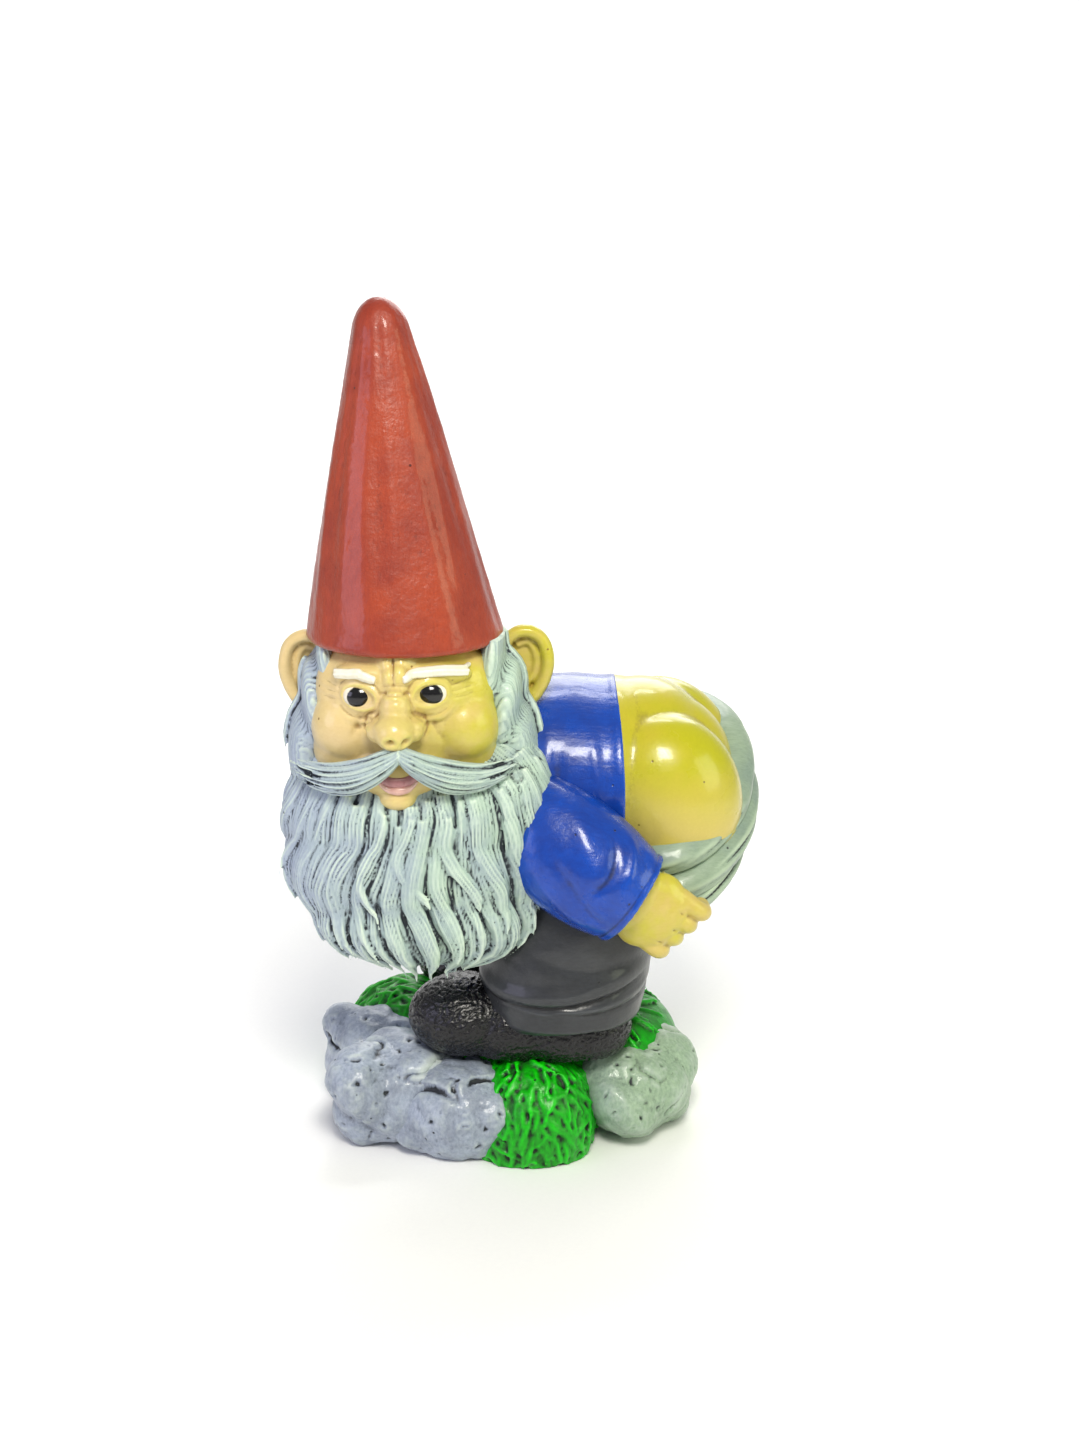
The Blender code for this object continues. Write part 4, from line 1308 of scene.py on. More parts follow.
# Folds of a leg: height above the hem, from and to which angle, droop, width, height and taper.
leg_folds = [
    (0.048, -40, 150, 0.019, 0.0060, 0.0028, 0.7),
    (0.0405, -30, 160, 0.018, 0.0016, -0.0030, 0.8),
    (0.0350, 0, 175, 0.015, 0.0028, 0.0015, 0.8),
    (0.0310, 30, 190, 0.013, 0.0015, -0.0016, 0.9),
    (0.052, -40, 60, -0.006, 0.0022, -0.0018, 0.6),
    (0.060, 60, 190, 0.010, 0.0060, -0.0016, 0.6),
    (0.0040, -60, 240, 0.000, 0.0025, 0.0008, 0.2),
]
for side, sign in (("left", -1), ("right", 1)):
    low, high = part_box(f"{side}_trouser_leg")
    y = BODY_Y + sign * 0.0515
    rings = [
        (0.0285, y, low.z + 0.0005, 0.0500, 0.0455),
        (0.0285, y, low.z + 0.0050, 0.0560, 0.0500),
        (0.0300, y, low.z + 0.026, 0.0590, 0.0518),
        (0.0360, y - sign * 0.001, low.z + 0.056, 0.0580, 0.0505),
        (0.0440, y - sign * 0.004, low.z + 0.084, 0.0560, 0.0480),
        (0.0500, y - sign * 0.006, high.z, 0.0480, 0.0420),
    ]
    route = smooth_path([r[:3] for r in rings], 34)
    radii = smooth_path([(r[3], r[4], 0) for r in rings], 34)
    leg = roll(route, (0, 1, 0), radii[:, 0], radii[:, 1], sides=64, name="leg")
    leg = press(f"{side}_leg_cloth", [leg], 0.0017, 5)
    strokes = []
    for up, start, stop, droop, width, height, taper in leg_folds:
        strokes.append((round_leg(y, sign, low.z + up, start, stop, droop), width, height, taper))
    draw(leg, strokes)
    uneven(leg, 0.024, 0.0012)
    find_crevices(leg, 0.00030, 0.0018)
    stands_for(leg, "grey_trouser_paint", f"{side}_trouser_leg")

# %% [markdown]
# ## Boots
#
# Round-toed boots, mostly hidden by the trousers. The sculptor dragged a comb over them, so they are
# covered in short crossed wrinkles, which show as sparks in the black gloss.

# %% Boots
for side, sign in (("left", -1), ("right", 1)):
    low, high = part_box(f"{side}_boot")
    y = BODY_Y + sign * 0.0560
    soft = [
        lump((low.x + 0.0400, y - sign * 0.002, low.z + 0.0245), (0.0400, 0.0355, 0.0292)),
        lump((low.x + 0.0760, y, low.z + 0.0200), (0.0420, 0.0345, 0.0305)),
        lump((low.x + 0.1080, y + sign * 0.001, low.z + 0.0180), (0.0420, 0.0345, 0.0285)),
        lump((low.x + 0.1260, y, low.z + 0.0170), (0.0345, 0.0325, 0.0265)),
    ]
    boot = press(f"{side}_boot_leather", soft, 0.0011, 8)
    cut_flat(boot, (0, 0, low.z + 0.0005), (0, 0, -1))
    spots, facing = spots_of(boot), facing_of(boot)
    wrinkle = []
    for x, yy, z in spots:
        slant = (x * 190 + z * 120, yy * 160, z * 430 - x * 190)
        other = (x * 240 - z * 190, yy * 150, z * 300 + x * 260)
        wrinkle.append(abs(noise.noise(slant)) + 0.8 * abs(noise.noise(other)))
    wrinkle = np.array(wrinkle)
    put_spots(boot, spots + facing * (0.0034 * (np.minimum(wrinkle, 0.40) - 0.22))[:, None])
    find_crevices(boot, 0.00018, 0.0010)
    stands_for(boot, "black_boot_paint", f"{side}_boot")

# %% [markdown]
# ## Rocks
#
# The rocks round the mound are lumps with knocked-off faces, pinholes and a few cracks. Each one is
# several overlapping lumps under one skin, roughened in three sizes: slow bulges, knuckle-sized facets
# and grit. They lean on each other like one outcrop, and draw in towards the ground.


# %% Rock surface
def roughen(piece, seed):
    """Bulges, facets and grit, in the numbers of a hand-modelled stone."""
    spots, facing = spots_of(piece), facing_of(piece)
    shift = Vector((seed * 3.1, seed * 1.7, seed * 2.3))
    lift = np.empty(len(spots))
    for k, (x, y, z) in enumerate(spots):
        slow = noise.noise(Vector((x, y, z)) * 26 + shift)
        cells = noise.voronoi(Vector((x, y, z)) * 30 + shift)[0]
        facet = min(cells[1] - cells[0], 0.30)
        middle_size = noise.noise(Vector((x, y, z)) * 95 + shift)
        grit = noise.noise(Vector((x, y, z)) * 330 + shift)
        pocket = max(0.0, noise.noise(Vector((x, y, z)) * 150 - shift) - 0.40)
        lift[k] = 0.0040 * slow + 0.0042 * (
            facet - 0.2
        ) + 0.0011 * middle_size + 0.0003 * grit - 0.0075 * pocket
    put_spots(piece, spots + facing * lift[:, None])


def crack(skin, start, way, length, chance):
    """A crooked line that creeps over a stone."""
    spot = Vector(start)
    way = Vector(way).normalized()
    points = []
    for _ in range(int(length / 0.004)):
        found, normal, _, _ = skin.find_nearest(spot)
        points.append(tuple(found))
        way = (
            way + Vector((chance.gauss(0, 0.35), chance.gauss(0, 0.35), chance.gauss(0, 0.35)))
        ).normalized()
        way = (way - normal * way.dot(normal)).normalized()
        spot = found + way * 0.004
    return points


print("rock tools ready")

# %% Rocks: each one
turns = {
    "front_left": 20, "front": -8, "left": 0, "right": 28, "far_right": -20, "back": 6, "back_right": -6
}
ground_mid = Vector((-0.012, 0.003, 0.0))
chance = random.Random(5)
for number, (name, turn) in enumerate(turns.items()):
    node = f"boulder_{name}"
    low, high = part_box(node)
    mid, size = (low + high) / 2, (high - low) / 2
    out = mid - ground_mid
    out.z = 0
    out.normalize()
    tall = high.z * {"right": 1.02, "far_right": 0.86, "back_right": 0.90}.get(name, 1.0)
    if name == "right":
        mid = mid + Vector((0.0025, -0.0020, 0))
    if name == "far_right":
        mid = mid + Vector((0.0060, 0, 0))
        size = size * 0.90
    body = (mid.x - out.x * 0.004, mid.y - out.y * 0.004, tall * 0.46)
    stones = [lump(body, (size.x * 1.02, size.y * 1.02, tall * 0.54))]
    for _ in range(4):
        angle = chance.uniform(0, 2 * math.pi)
        level = chance.uniform(0.25, 0.75)
        reach = 0.62 * math.sqrt(max(0.1, 1 - (2 * level - 1) ** 2))
        spot = (
            mid.x + size.x * reach * math.cos(angle), mid.y + size.y * reach * math.sin(angle),
            tall * level,
        )
        share = chance.uniform(0.50, 0.68)
        slant = (chance.uniform(0, 40), chance.uniform(0, 40), turn)
        stones.append(lump(spot, (size.x * share, size.y * share, tall * 0.5 * share), slant))
    inner = mid - out * size.length * 0.35
    stones.append(lump((inner.x, inner.y, tall * 0.45), (size.x * 0.8, size.y * 0.8, tall * 0.50)))
    stone = press(f"{node}_stone", stones, 0.00165, 10)
    skin = skin_of(stone)
    cracks = []
    for _ in range(5):
        start = mid + out * 0.5 * size.x + Vector(
            (
                chance.uniform(-1, 1) * size.x, chance.uniform(-1, 1) * size.y,
                chance.uniform(0, 0.5) * tall,
            )
        )
        line = crack(
            skin, start, (chance.gauss(0, 1), chance.gauss(0, 1), chance.gauss(0, 1)),
            chance.uniform(0.03, 0.06), chance,
        )
        cracks.append((line, chance.uniform(0.0014, 0.0028), -chance.uniform(0.0020, 0.0042), 0.6))
    draw(stone, cracks)
    roughen(stone, number + 1)
    spots = spots_of(stone)
    spots[:, 0] = np.clip(spots[:, 0], cad_box[0].x - 0.004, cad_box[1].x + 0.004)
    put_spots(stone, spots)
    cut_flat(stone, (0, 0, 0), (0, 0, -1))
    find_crevices(stone, 0.00055, 0.0034)
    stands_for(stone, "grey_rock_paint", node)

# %% [markdown]
# ## Turf
#
# Grass modelled the potter's way: a mound, covered with short flat strokes that start under the boots
# and fan out and down between the rocks. Each stroke is a tapered roll that crawls over the mound's
# skin, one row after another, with the lower rows' tips standing clear.

# %% Turf: mound
low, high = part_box("turf_mound")
top = high.z - 0.0095
mound_lumps = [
    lump((ground_mid.x, ground_mid.y, top - 0.036), (0.1010, 0.0850, 0.0370)),
    lump((ground_mid.x, ground_mid.y, 0.022), (0.1020, 0.0860, 0.0420)),
    lump((0.0070, -0.0700, 0.018), (0.0440, 0.0400, 0.0500)),
    lump((0.0740, 0.0600, 0.024), (0.0340, 0.0400, 0.0420)),
    lump((0.0620, 0.0520, 0.040), (0.0340, 0.0400, 0.0330)),
    lump((-0.0930, 0.0500, 0.028), (0.0430, 0.0440, 0.0470)),
    lump((-0.0830, 0.0360, 0.048), (0.0400, 0.0420, 0.0330)),
    lump((0.0750, 0.0050, top - 0.024), (0.0420, 0.0640, 0.0350)),
]
mound = press("turf_core", mound_lumps, 0.0030, 12)
turf_skin = skin_of(mound)
print("mound", len(mound.data.polygons))


# %% Turf: strokes
def blade(start, way, length, width, lift, sway):
    """One stroke of grass that crawls over the mound from start, heading that way and turning by sway."""
    spot = Vector(start)
    way = Vector(way).normalized()
    path, normals = [], []
    steps = 7
    for k in range(steps):
        found, normal, _, _ = turf_skin.find_nearest(spot)
        share = k / (steps - 1)
        path.append(tuple(found + normal * (lift * (0.2 + 0.8 * share))))
        normals.append(tuple(normal))
        way = (way - normal * way.dot(normal)).normalized()
        side = normal.cross(way)
        way = (way + side * sway / steps).normalized()
        spot = found + way * (length / (steps - 1))
    swell = np.array([0.60, 0.95, 1.0, 0.95, 0.80, 0.52, 0.10])
    return roll(path, normals, width * swell, width * 0.72 * swell, sides=6, name="blade")


chance = random.Random(31)


def random_blade(start, way, lengths, widths, lifts):
    """A stroke whose length, width and lift are drawn from these ranges, in that order, and then its turn."""
    length, width, lift = chance.uniform(*lengths), chance.uniform(*widths), chance.uniform(*lifts)
    return blade(start, way, length, width, lift, chance.gauss(0, 0.8))


blades = [mound]
for row in range(9):
    count = 90 if row > 2 else 60
    for k in range(count):
        angle = 2 * math.pi * (k + 0.5 * (row % 2) + 0.35 * chance.random()) / count
        reach = 0.60 + 0.07 * min(row, 6)
        out = Vector((math.cos(angle), math.sin(angle), 0))
        height = top if row < 4 else top - 0.012 * (row - 3)
        start = Vector(
            (ground_mid.x + 0.100 * reach * out.x, ground_mid.y + 0.084 * reach * out.y, height)
        )
        if row > 4:
            start = start + out * 0.012
        way = out + Vector((chance.gauss(0, 0.25), chance.gauss(0, 0.25), -0.8))
        blades.append(random_blade(start, way, (0.020, 0.034), (0.0013, 0.0024), (0.0006, 0.0038)))
# The tongue in front and the two shoulders: middle, half sizes, and how many strokes.
tufts = (
    ((0.0070, -0.0700, 0.018), (0.048, 0.042, 0.052), 300),
    ((0.0760, 0.0660, 0.030), (0.034, 0.036, 0.046), 100),
    ((-0.0980, 0.0500, 0.032), (0.041, 0.042, 0.050), 130),
)
for mid, size, count in tufts:
    for k in range(count):
        level = 0.95 - 1.35 * (k / count)
        angle = 2.4 * k
        reach = math.sqrt(max(0.05, 1 - level * level))
        start = Vector(
            (
                mid[0] + size[0] * reach * math.cos(angle), mid[1] + size[1] * reach * math.sin(angle),
                mid[2] + size[2] * level,
            )
        )
        if start.z < 0.010:
            continue
        side = 1.3 * (start.x - mid[0]) / size[0]
        way = Vector((side + chance.gauss(0, 0.35), 0.3 * math.sin(angle), -1.0))
        blades.append(random_blade(start, way, (0.016, 0.028), (0.0012, 0.0023), (0.0006, 0.0040)))
print("strokes", len(blades) - 1)
turf = press("turf_blades", blades, 0.0013, 0)
cut_flat(turf, (0, 0, 0), (0, 0, -1))
find_crevices(turf, 0.00040, 0.0019)
stands_for(turf, "green_turf_paint", "turf_mound")

# %% [markdown]
# ## Paint
#
# The finish is exterior enamel brushed on cement-rich concrete. The concrete gives small pits and a
# slow unevenness, the brush leaves fine streaks, and the enamel dries to a hard shine over both. The
# grooves get a dark wash deepened into painted shade and the crests a lighter colour as a painted
# highlight, so the colour of every material here is led by the relief that was stored on its piece.


# %% Nodes and colours
def linear(code):
    """A colour from its sRGB hex code, as Blender's linear numbers."""
    parts = [int(code[k : k + 2], 16) / 255 for k in (0, 2, 4)]
    return tuple(c / 12.92 if c <= 0.04045 else ((c + 0.055) / 1.055) ** 2.4 for c in parts) + (1.0,)


def add(tree, kind, settings=None, **inputs):
    """Adds a node. settings are its properties; inputs are its sockets, given a value or linked."""
    node = tree.nodes.new("ShaderNode" + kind)
    for name, value in (settings or {}).items():
        setattr(node, name, value)
    for name, value in inputs.items():
        socket = node.inputs[int(name[1:])] if name[1:].isdigit() else node.inputs[
            name.replace("_", " ")
        ]
        if isinstance(value, bpy.types.NodeSocket):
            tree.links.new(value, socket)
        else:
            socket.default_value = value
    return node


def per_mm(size):
    """The scale of a noise whose blotches are about that many millimetres across, on metre coordinates."""
    return 1000.0 / size


def fresh(name):
    """A new material and its empty node tree."""
    made = bpy.data.materials.new(name)
    made.use_nodes = True
    made.node_tree.nodes.clear()
    return made, made.node_tree


print("node helpers ready")


# %% Brushed enamel on concrete
def enamel(
    name, main, second, wash_and_shade, crest, roughness=0.30, coat=0.5, blotch=38.0, streak=(1, 1, 0.12),
    streak_mm=1.3, pit_share=0.5, bump=0.35, wash_and_shade_reach=(0.10, 0.75), highlight_reach=(0.15, 1.0),
    painted_light_tint=None, across=False, grime=0.25,
):
    """Enamel over concrete: two brushed tones, a dark wash in the grooves deepened into painted shade, a
    lighter crest as painted highlight, one side mixed in another colour as painted light, dark pits and brush
    marks.
    """
    paint, tree = fresh(name)
    place = add(tree, "TexCoord").outputs["Object"]
    relief = add(tree, "Attribute", {"attribute_name": "relief"}).outputs["Fac"]

    slow = add(tree, "TexNoise", Vector=place, Scale=per_mm(blotch), Detail=4.0, Roughness=0.6)
    tone = add(
        tree, "MapRange", {"clamp": True}, Value=slow.outputs["Fac"], From_Min=0.40, From_Max=0.62
    )
    base = add(
        tree, "Mix", {"data_type": "RGBA"}, _0=tone.outputs[0], _6=linear(main), _7=linear(second)
    ).outputs[2]

    stretched = add(tree, "Mapping", Vector=place, Scale=streak).outputs["Vector"]
    hairs = add(tree, "TexNoise", Vector=stretched, Scale=per_mm(streak_mm), Detail=3.0, Roughness=0.65)
    # Painted light: along one axis the colour is mixed towards another one, on one side or towards the
    # bottom, standing in for a tinted lamp that lights that part differently.
    if painted_light_tint:
        axis, low, high, colour, share = painted_light_tint
        parted = add(tree, "SeparateXYZ", Vector=place).outputs[axis]
        painted_light_share = add(
            tree, "MapRange", {"clamp": True}, Value=parted, From_Min=low, From_Max=high, To_Max=share
        )
        base = add(
            tree, "Mix", {"data_type": "RGBA"}, _0=painted_light_share.outputs[0], _6=base, _7=linear(colour)
        ).outputs[2]

    thin = add(
        tree, "MapRange", {"clamp": True}, Value=hairs.outputs["Fac"], From_Min=0.35, From_Max=0.72,
        To_Max=grime,
    )
    base = add(
        tree, "Mix", {"data_type": "RGBA", "blend_type": "MULTIPLY"}, _0=thin.outputs[0], _6=base,
        _7=linear(second),
    ).outputs[2]

    # Painted highlight: on crests the colour is mixed towards the lighter crest colour, as if light caught
    # them.
    highlight_share = add(
        tree, "MapRange", {"clamp": True}, Value=relief, From_Min=highlight_reach[0],
        From_Max=highlight_reach[1],
    )
    base = add(
        tree, "Mix", {"data_type": "RGBA"}, _0=highlight_share.outputs[0], _6=base, _7=linear(crest)
    ).outputs[2]

    # Painted shade: below the level of their surroundings the colour is mixed towards the dark wash colour,
    # the more the deeper, partly a real wash in the grooves and partly shade painted in.
    sunk = add(tree, "Math", {"operation": "MULTIPLY"}, _0=relief, _1=-1.0).outputs[0]
    ragged = add(
        tree, "Math", {"operation": "MULTIPLY_ADD"}, _0=hairs.outputs["Fac"], _1=0.5, _2=-0.25
    ).outputs[0]
    sunk = add(tree, "Math", {"operation": "ADD"}, _0=sunk, _1=ragged).outputs[0]
    depth = add(
        tree, "MapRange", {"clamp": True}, Value=sunk, From_Min=wash_and_shade_reach[0], From_Max=wash_and_shade_reach[1]
    )
    base = add(
        tree, "Mix", {"data_type": "RGBA"}, _0=depth.outputs[0], _6=base, _7=linear(wash_and_shade)
    ).outputs[2]

    # Pits: air bubbles in the casting, 1 to 2 mm wide and 9 mm apart, which the paint doesn't fill. They are
    # mixed to the dark wash colour as painted shade inside the holes.
    cells = add(tree, "TexVoronoi", Vector=place, Scale=per_mm(9.0), Randomness=1.0)
    pick_few = add(tree, "SeparateXYZ", Vector=cells.outputs["Color"]).outputs[0]
    chosen = add(tree, "Math", {"operation": "LESS_THAN"}, _0=pick_few, _1=0.20 * pit_share).outputs[0]
    inside = add(
        tree, "MapRange", {"clamp": True}, Value=cells.outputs["Distance"], From_Min=0.06,
        From_Max=0.12, To_Min=1.0, To_Max=0.0,
    )
    pit = add(tree, "Math", {"operation": "MULTIPLY"}, _0=inside.outputs[0], _1=chosen).outputs[0]
    base = add(tree, "Mix", {"data_type": "RGBA"}, _0=pit, _6=base, _7=linear(wash_and_shade)).outputs[2]

    grit = add(tree, "TexNoise", Vector=place, Scale=per_mm(2.2), Detail=3.0, Roughness=0.6)
    height = add(
        tree, "Math", {"operation": "MULTIPLY_ADD"}, _0=hairs.outputs["Fac"], _1=0.6,
        _2=grit.outputs["Fac"],
    ).outputs[0]
    if across:
        comb_line = add(tree, "Attribute", {"attribute_name": "across"}).outputs["Fac"]
        wave = add(
            tree, "Math", {"operation": "SINE"},
            _0=add(tree, "Math", {"operation": "MULTIPLY"}, _0=comb_line, _1=5.2).outputs[0],
        ).outputs[0]
        height = add(
            tree, "Math", {"operation": "MULTIPLY_ADD"}, _0=wave, _1=0.35, _2=height
        ).outputs[0]
    height = add(tree, "Math", {"operation": "MULTIPLY_ADD"}, _0=pit, _1=-2.5, _2=height).outputs[0]
    dent = add(tree, "Bump", Strength=bump, Distance=0.0006, Height=height)

    gloss = add(
        tree, "MapRange", {"clamp": True}, Value=slow.outputs["Fac"], From_Min=0.3, From_Max=0.7,
        To_Min=roughness * 0.8, To_Max=roughness * 1.3,
    )
    gloss = add(
        tree, "Math", {"operation": "MULTIPLY_ADD", "use_clamp": True}, _0=depth.outputs[0], _1=0.25,
        _2=gloss.outputs[0],
    ).outputs[0]
    shader = add(
        tree, "BsdfPrincipled", Base_Color=base, Roughness=gloss, Normal=dent.outputs["Normal"]
    )
    shader.inputs["IOR"].default_value = 1.43
    shader.inputs["Coat Weight"].default_value = coat
    shader.inputs["Coat Roughness"].default_value = 0.12
    shader.inputs["Coat IOR"].default_value = 1.50
    add(tree, "OutputMaterial", Surface=shader.outputs["BSDF"])
    print("mixed", name)
    return paint


# %% [markdown]
# ## The paint pots
#
# Each finish is the same enamel from another pot. The hat is a warm brick red that is mixed towards
# orange on its crests as a painted highlight. The skin is yellow-ochre with peach over its left side,
# and the hair a grey with some green in it, let down with lilac on its left side: the yellow-green and
# the peach and lilac are painted light, standing for a yellow-green lamp on the right and cooler light
# on the left. A dark wash stays in the hair's grooves, deepened into painted shade.

# %% Hat, skin and hair
paints = {}
paints["hat"] = enamel(
    "brick_red_enamel", "A43F22", "90301A", "43120C", "BC5430", roughness=0.40, coat=0.35, blotch=45,
    streak=(1, 1, 0.10), streak_mm=1.6, bump=0.55, highlight_reach=(0.6, 2.4), grime=0.20,
)
paints["skin"] = enamel(
    "ochre_skin_enamel", "C6BC3C", "CCB662", "8A6A30", "D8D062", roughness=0.32, coat=0.40, blotch=34,
    streak=(0.4, 1, 1), streak_mm=2.0, bump=0.22, pit_share=0.35, wash_and_shade_reach=(0.30, 1.6),
    highlight_reach=(0.5, 2.2), grime=0.12, painted_light_tint=(0, -0.020, -0.115, "E2C896", 0.80),
)
paints["hair"] = enamel(
    "grey_hair_enamel", "B0C6B8", "A2B4B6", "262C34", "D8E8D6", roughness=0.45, coat=0.18, blotch=26,
    streak=(1, 1, 0.2), streak_mm=1.1, bump=0.35, pit_share=0.5, wash_and_shade_reach=(0.08, 0.72),
    highlight_reach=(0.10, 1.1), painted_light_tint=(0, -0.06, -0.17, "A4ACCC", 0.70), across=True, grime=0.2,
)
paints["brow"] = enamel(
    "white_brow_enamel", "EFECD6", "E4DEC6", "B09A70", "FCFBF0", roughness=0.35, coat=0.4, blotch=12,
    streak_mm=1.0, pit_share=0.0, wash_and_shade_reach=(0.5, 1.5),
)
paints["lip"] = enamel(
    "rose_lip_enamel", "C99A8C", "BC8480", "7A4440", "DDB4A6", roughness=0.26, coat=0.6, blotch=8,
    streak_mm=1.0, pit_share=0.0, wash_and_shade_reach=(0.4, 1.4),
)
paints["tooth"] = enamel(
    "mouth_rose_enamel", "A86C70", "93595E", "5A2C30", "C08C8C", roughness=0.30, coat=0.5, blotch=6,
    streak_mm=1.0, pit_share=0.0,
)

# %% Eye enamel
eye_paint, tree = fresh("black_and_white_eye_enamel")
pupil = add(tree, "Attribute", {"attribute_name": "pupil"}).outputs["Fac"]
ragged = add(
    tree, "TexNoise", Vector=add(tree, "TexCoord").outputs["Object"], Scale=per_mm(3.0), Detail=2.0
)
edge = add(
    tree, "Math", {"operation": "MULTIPLY_ADD"}, _0=ragged.outputs["Fac"], _1=0.30, _2=pupil
).outputs[0]
white = add(tree, "MapRange", {"clamp": True}, Value=edge, From_Min=1.08, From_Max=1.22)
colour = add(
    tree, "Mix", {"data_type": "RGBA"}, _0=white.outputs[0], _6=linear("0B0A0C"), _7=linear("EFE9D6")
).outputs[2]
flecks = add(tree, "Bump", Strength=0.25, Distance=0.0004, Height=ragged.outputs["Fac"])
glaze = add(tree, "BsdfPrincipled", Base_Color=colour, Normal=flecks.outputs["Normal"])
glaze.inputs["Roughness"].default_value = 0.12
glaze.inputs["Coat Weight"].default_value = 0.3
glaze.inputs["Coat Roughness"].default_value = 0.05
add(tree, "OutputMaterial", Surface=glaze.outputs["BSDF"])
paints["eye"] = eye_paint
print("mixed", eye_paint.name)

# %% Clothes
paints["shirt"] = enamel(
    "royal_blue_enamel", "0646B0", "063896", "04123C", "165CC6", roughness=0.27, coat=0.38, blotch=40,
    streak=(0.15, 1, 0.5), streak_mm=1.5, bump=0.35, highlight_reach=(0.5, 2.4), grime=0.25,
)
# Painted light: the seat is the flesh paint mixed yellower than the face, as lit by the yellow-green light
# from above, and its lower part is mixed towards peach where that light does not reach.
paints["seat"] = enamel(
    "seat_flesh_enamel_painted_light", "B4B014", "BCB028", "6E5C18", "C2B82E", roughness=0.28, coat=0.45, blotch=55,
    streak=(1, 0.3, 1), streak_mm=2.0, bump=0.15, pit_share=0.3, highlight_reach=(0.6, 2.4), grime=0.10,
    painted_light_tint=(2, 0.285, 0.235, "D2BC66", 0.80),
)
# Painted light and painted shade: the rolls and the legs are one grey trouser paint, mixed as a lit copy for
# the rolls, pale and greenish as in the yellow-green light, and as a shaded copy for the legs, dark as in the
# shadow under the body.
paints["rolls"] = enamel(
    "trouser_grey_enamel_lit_copy", "93A690", "84978A", "262C28", "B4C6AC", roughness=0.38, coat=0.3, blotch=30,
    streak=(0.2, 1, 1), streak_mm=1.6, bump=0.3, wash_and_shade_reach=(0.12, 0.8), highlight_reach=(0.3, 1.6),
)
# The shaded copy of the trouser grey: painted shade.
paints["trousers"] = enamel(
    "trouser_grey_enamel_shaded_copy", "323438", "2A2C30", "0E0F12", "484B50", roughness=0.36, coat=0.35, blotch=34,
    streak=(0.3, 1, 1), streak_mm=1.8, bump=0.3, highlight_reach=(0.4, 2.0), wash_and_shade_reach=(0.2, 1.1),
)
paints["boots"] = enamel(
    "black_boot_enamel", "060508", "09080C", "010102", "100F16", roughness=0.17, coat=0.22, blotch=14,
    streak=(1, 1, 0.35), streak_mm=1.8, bump=0.95, highlight_reach=(0.2, 1.2), pit_share=0.2,
)

# %% Base
# Painted light: the rocks are lilac-grey for the cooler light on the left, and mixed towards green on the
# right for the yellow-green light there.
paints["rock"] = enamel(
    "bare_grey_concrete_wash", "A4AEBE", "8E97A6", "20242A", "CCD6D0", roughness=0.42, coat=0.25,
    blotch=22, streak=(1, 1, 0.6), streak_mm=2.4, bump=0.9, pit_share=1.0, wash_and_shade_reach=(0.08, 0.85),
    highlight_reach=(0.15, 1.3), painted_light_tint=(0, -0.02, 0.08, "98B48C", 0.8), grime=0.45,
)
# The near-black wash between the strokes is painted shade between the blades, and the bright crest green a
# painted highlight on them.
paints["turf"] = enamel(
    "leaf_green_enamel", "02AC02", "028402", "001C01", "0EDC06", roughness=0.36, coat=0.08, blotch=12,
    streak=(1, 1, 0.4), streak_mm=1.4, bump=0.5, pit_share=0.3, wash_and_shade_reach=(0.00, 0.65),
    highlight_reach=(0.15, 1.1), grime=0.35,
)


# %% Brushing the paint on
def brush(paint, *pieces):
    """Gives these pieces a paint as their only material."""
    for piece in pieces:
        piece.data.materials.clear()
        piece.data.materials.append(paint)
        piece.data.polygons.foreach_set("material_index", np.zeros(len(piece.data.polygons), np.int32))


painted_with = {
    "hat": "pointed_hat",
    "skin": "face left_ear_clay right_ear_clay left_hand_clay right_hand_clay",
    "hair": "beard_locks head_hair left_moustache_half right_moustache_half",
    "brow": "left_brow_hair right_brow_hair",
    "lip": "lower_lip_roll",
    "tooth": "upper_teeth",
    "eye": "left_eyeball right_eyeball",
    "shirt": "shirt_barrel left_sleeve_cloth right_sleeve_cloth",
    "seat": "seat_cheeks",
    "rolls": "upper_roll_cloth middle_roll_cloth lower_roll_cloth",
    "trousers": "left_leg_cloth right_leg_cloth",
    "boots": "left_boot_leather right_boot_leather",
    "turf": "turf_blades",
}
for pot, names in painted_with.items():
    brush(paints[pot], *[bpy.data.objects[name] for name in names.split()])
brush(paints["rock"], *[piece for piece in bpy.data.objects if piece.name.endswith("_stone")])
print("painted")

# %% [markdown]
# ## Studio
#
# A pale sweep that curves up into a wall, under soft light: one lamp high in front, a broad one from
# each side, a little greener on the right and cooler on the left, one behind for the rims, and one
# that only lights the wall. An even pale world keeps the shadows open.
# The scene's view is set to Standard, so that each enamel looks as it was mixed in its hex code.

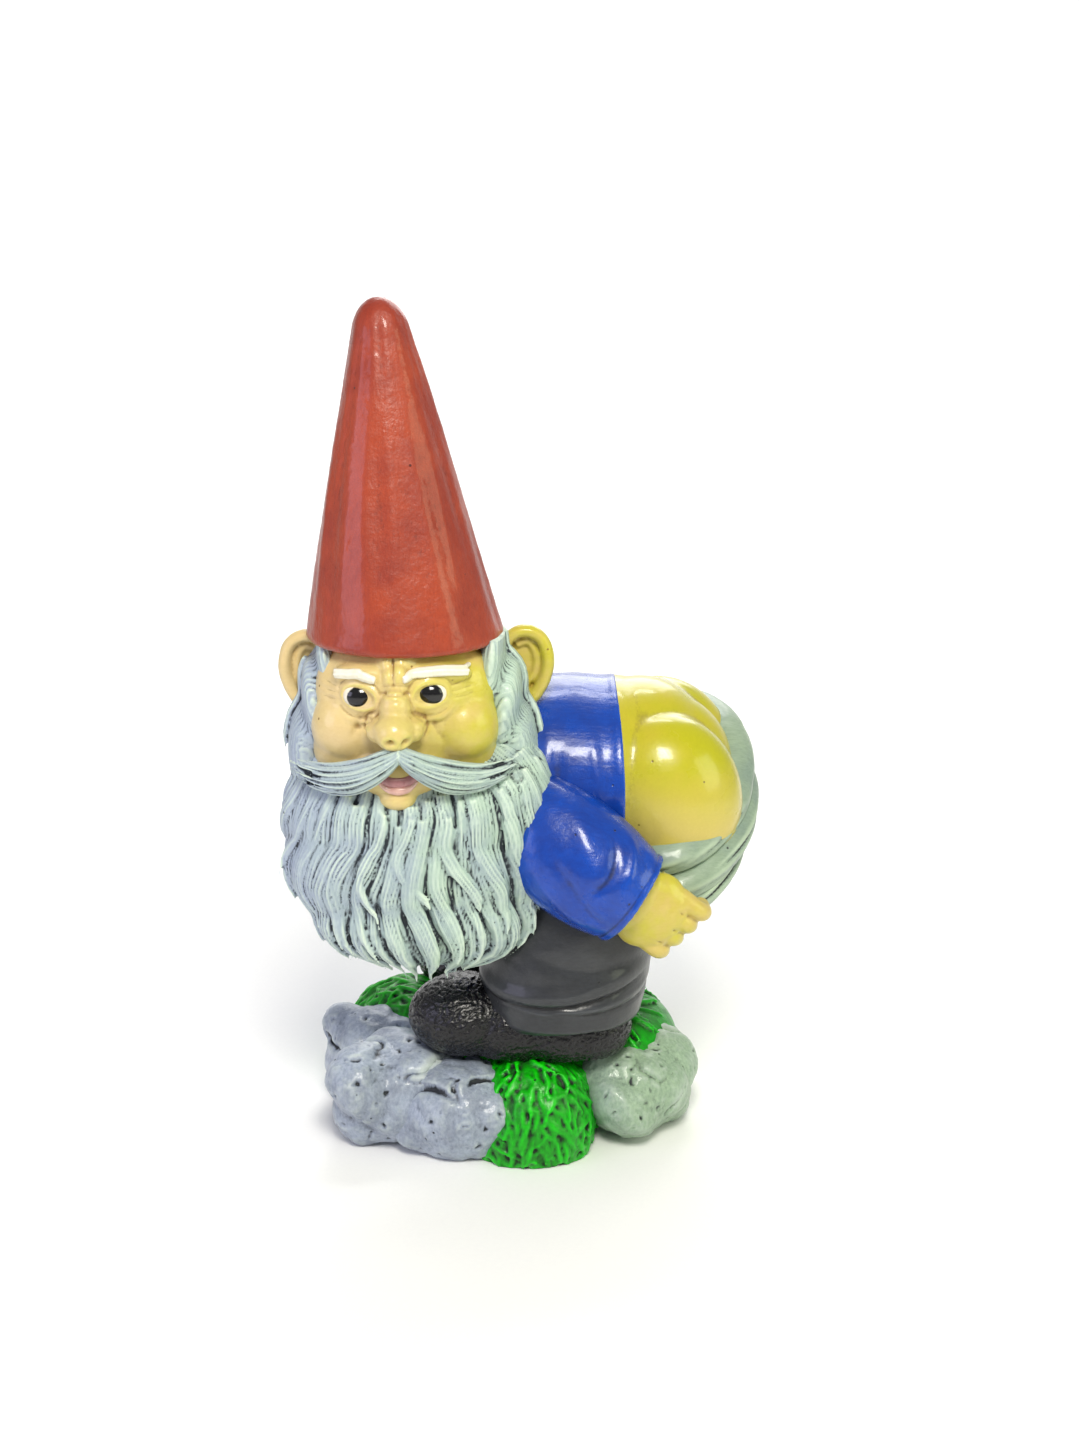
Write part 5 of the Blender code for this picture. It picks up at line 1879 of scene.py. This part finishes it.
# %% Floor
bpy.context.scene.view_settings.view_transform = "Standard"
bend = 0.8  # the radius of the curve between the floor and the wall, which starts 2.2 m behind
sweep_line = [(-6.0, 0.0), (2.2, 0.0)]
for angle in range(10, 91, 10):
    round_bend = math.radians(angle)
    sweep_line.append((2.2 + bend * math.sin(round_bend), bend - bend * math.cos(round_bend)))
sweep_line.append((3.0, 3.2))
rows = [[(x, y, z - 0.0005) for y, z in sweep_line] for x in (-5.0, 5.0)]
count = len(sweep_line)
mesh = bpy.data.meshes.new("studio_floor")
mesh.from_pydata(
    rows[0] + rows[1], [], [(k, count + k, count + k + 1, k + 1) for k in range(count - 1)]
)
floor = bpy.data.objects.new("studio_floor", mesh)
bpy.context.scene.collection.objects.link(floor)
mesh.shade_smooth()
sweep, tree = fresh("white_paper_sweep")
fibres = add(
    tree, "TexNoise", Vector=add(tree, "TexCoord").outputs["Object"], Scale=per_mm(3.0), Detail=2.0
)
shade = add(
    tree, "Mix", {"data_type": "RGBA"}, _0=fibres.outputs["Fac"], _6=linear("F2F2F2"),
    _7=linear("F7F7F6"),
).outputs[2]
paper = add(tree, "BsdfPrincipled", Base_Color=shade)
paper.inputs["Roughness"].default_value = 0.9
add(tree, "OutputMaterial", Surface=paper.outputs["BSDF"])
brush(sweep, floor)
print("floor laid")


# %% Lamps
def lamp(name, spot, size, watts, colour, target=(0, 0, 0.28)):
    """A square soft lamp that looks at the figure's chest, or at another target."""
    made = bpy.data.objects.new(name, bpy.data.lights.new(name, "AREA"))
    bpy.context.scene.collection.objects.link(made)
    made.location = spot
    made.rotation_euler = (Vector(target) - made.location).to_track_quat("-Z", "Y").to_euler()
    made.data.size = size
    made.data.energy = watts
    made.data.color = linear(colour)[:3]
    return made


lamp("key_lamp", (0.10, -1.25, 1.50), 0.50, 25, "FFFBF0")
lamp("right_lamp", (1.50, -0.70, 0.80), 0.9, 7, "F6FFDC")
lamp("left_lamp", (-1.50, -0.80, 0.70), 0.9, 7, "DEDCFF")
lamp("back_lamp", (0.30, 1.40, 1.20), 0.9, 8, "FFFFFF")
lamp("backdrop_lamp", (0.0, 1.50, 2.30), 1.2, 48, "FFFFFF", (0, 3.2, 0.3))
world = bpy.data.worlds.new("pale_room")
bpy.context.scene.world = world
world.use_nodes = True
world.node_tree.nodes["Background"].inputs["Color"].default_value = (1.0, 1.0, 1.0, 1.0)
world.node_tree.nodes["Background"].inputs["Strength"].default_value = 0.34
print("lamps hung")
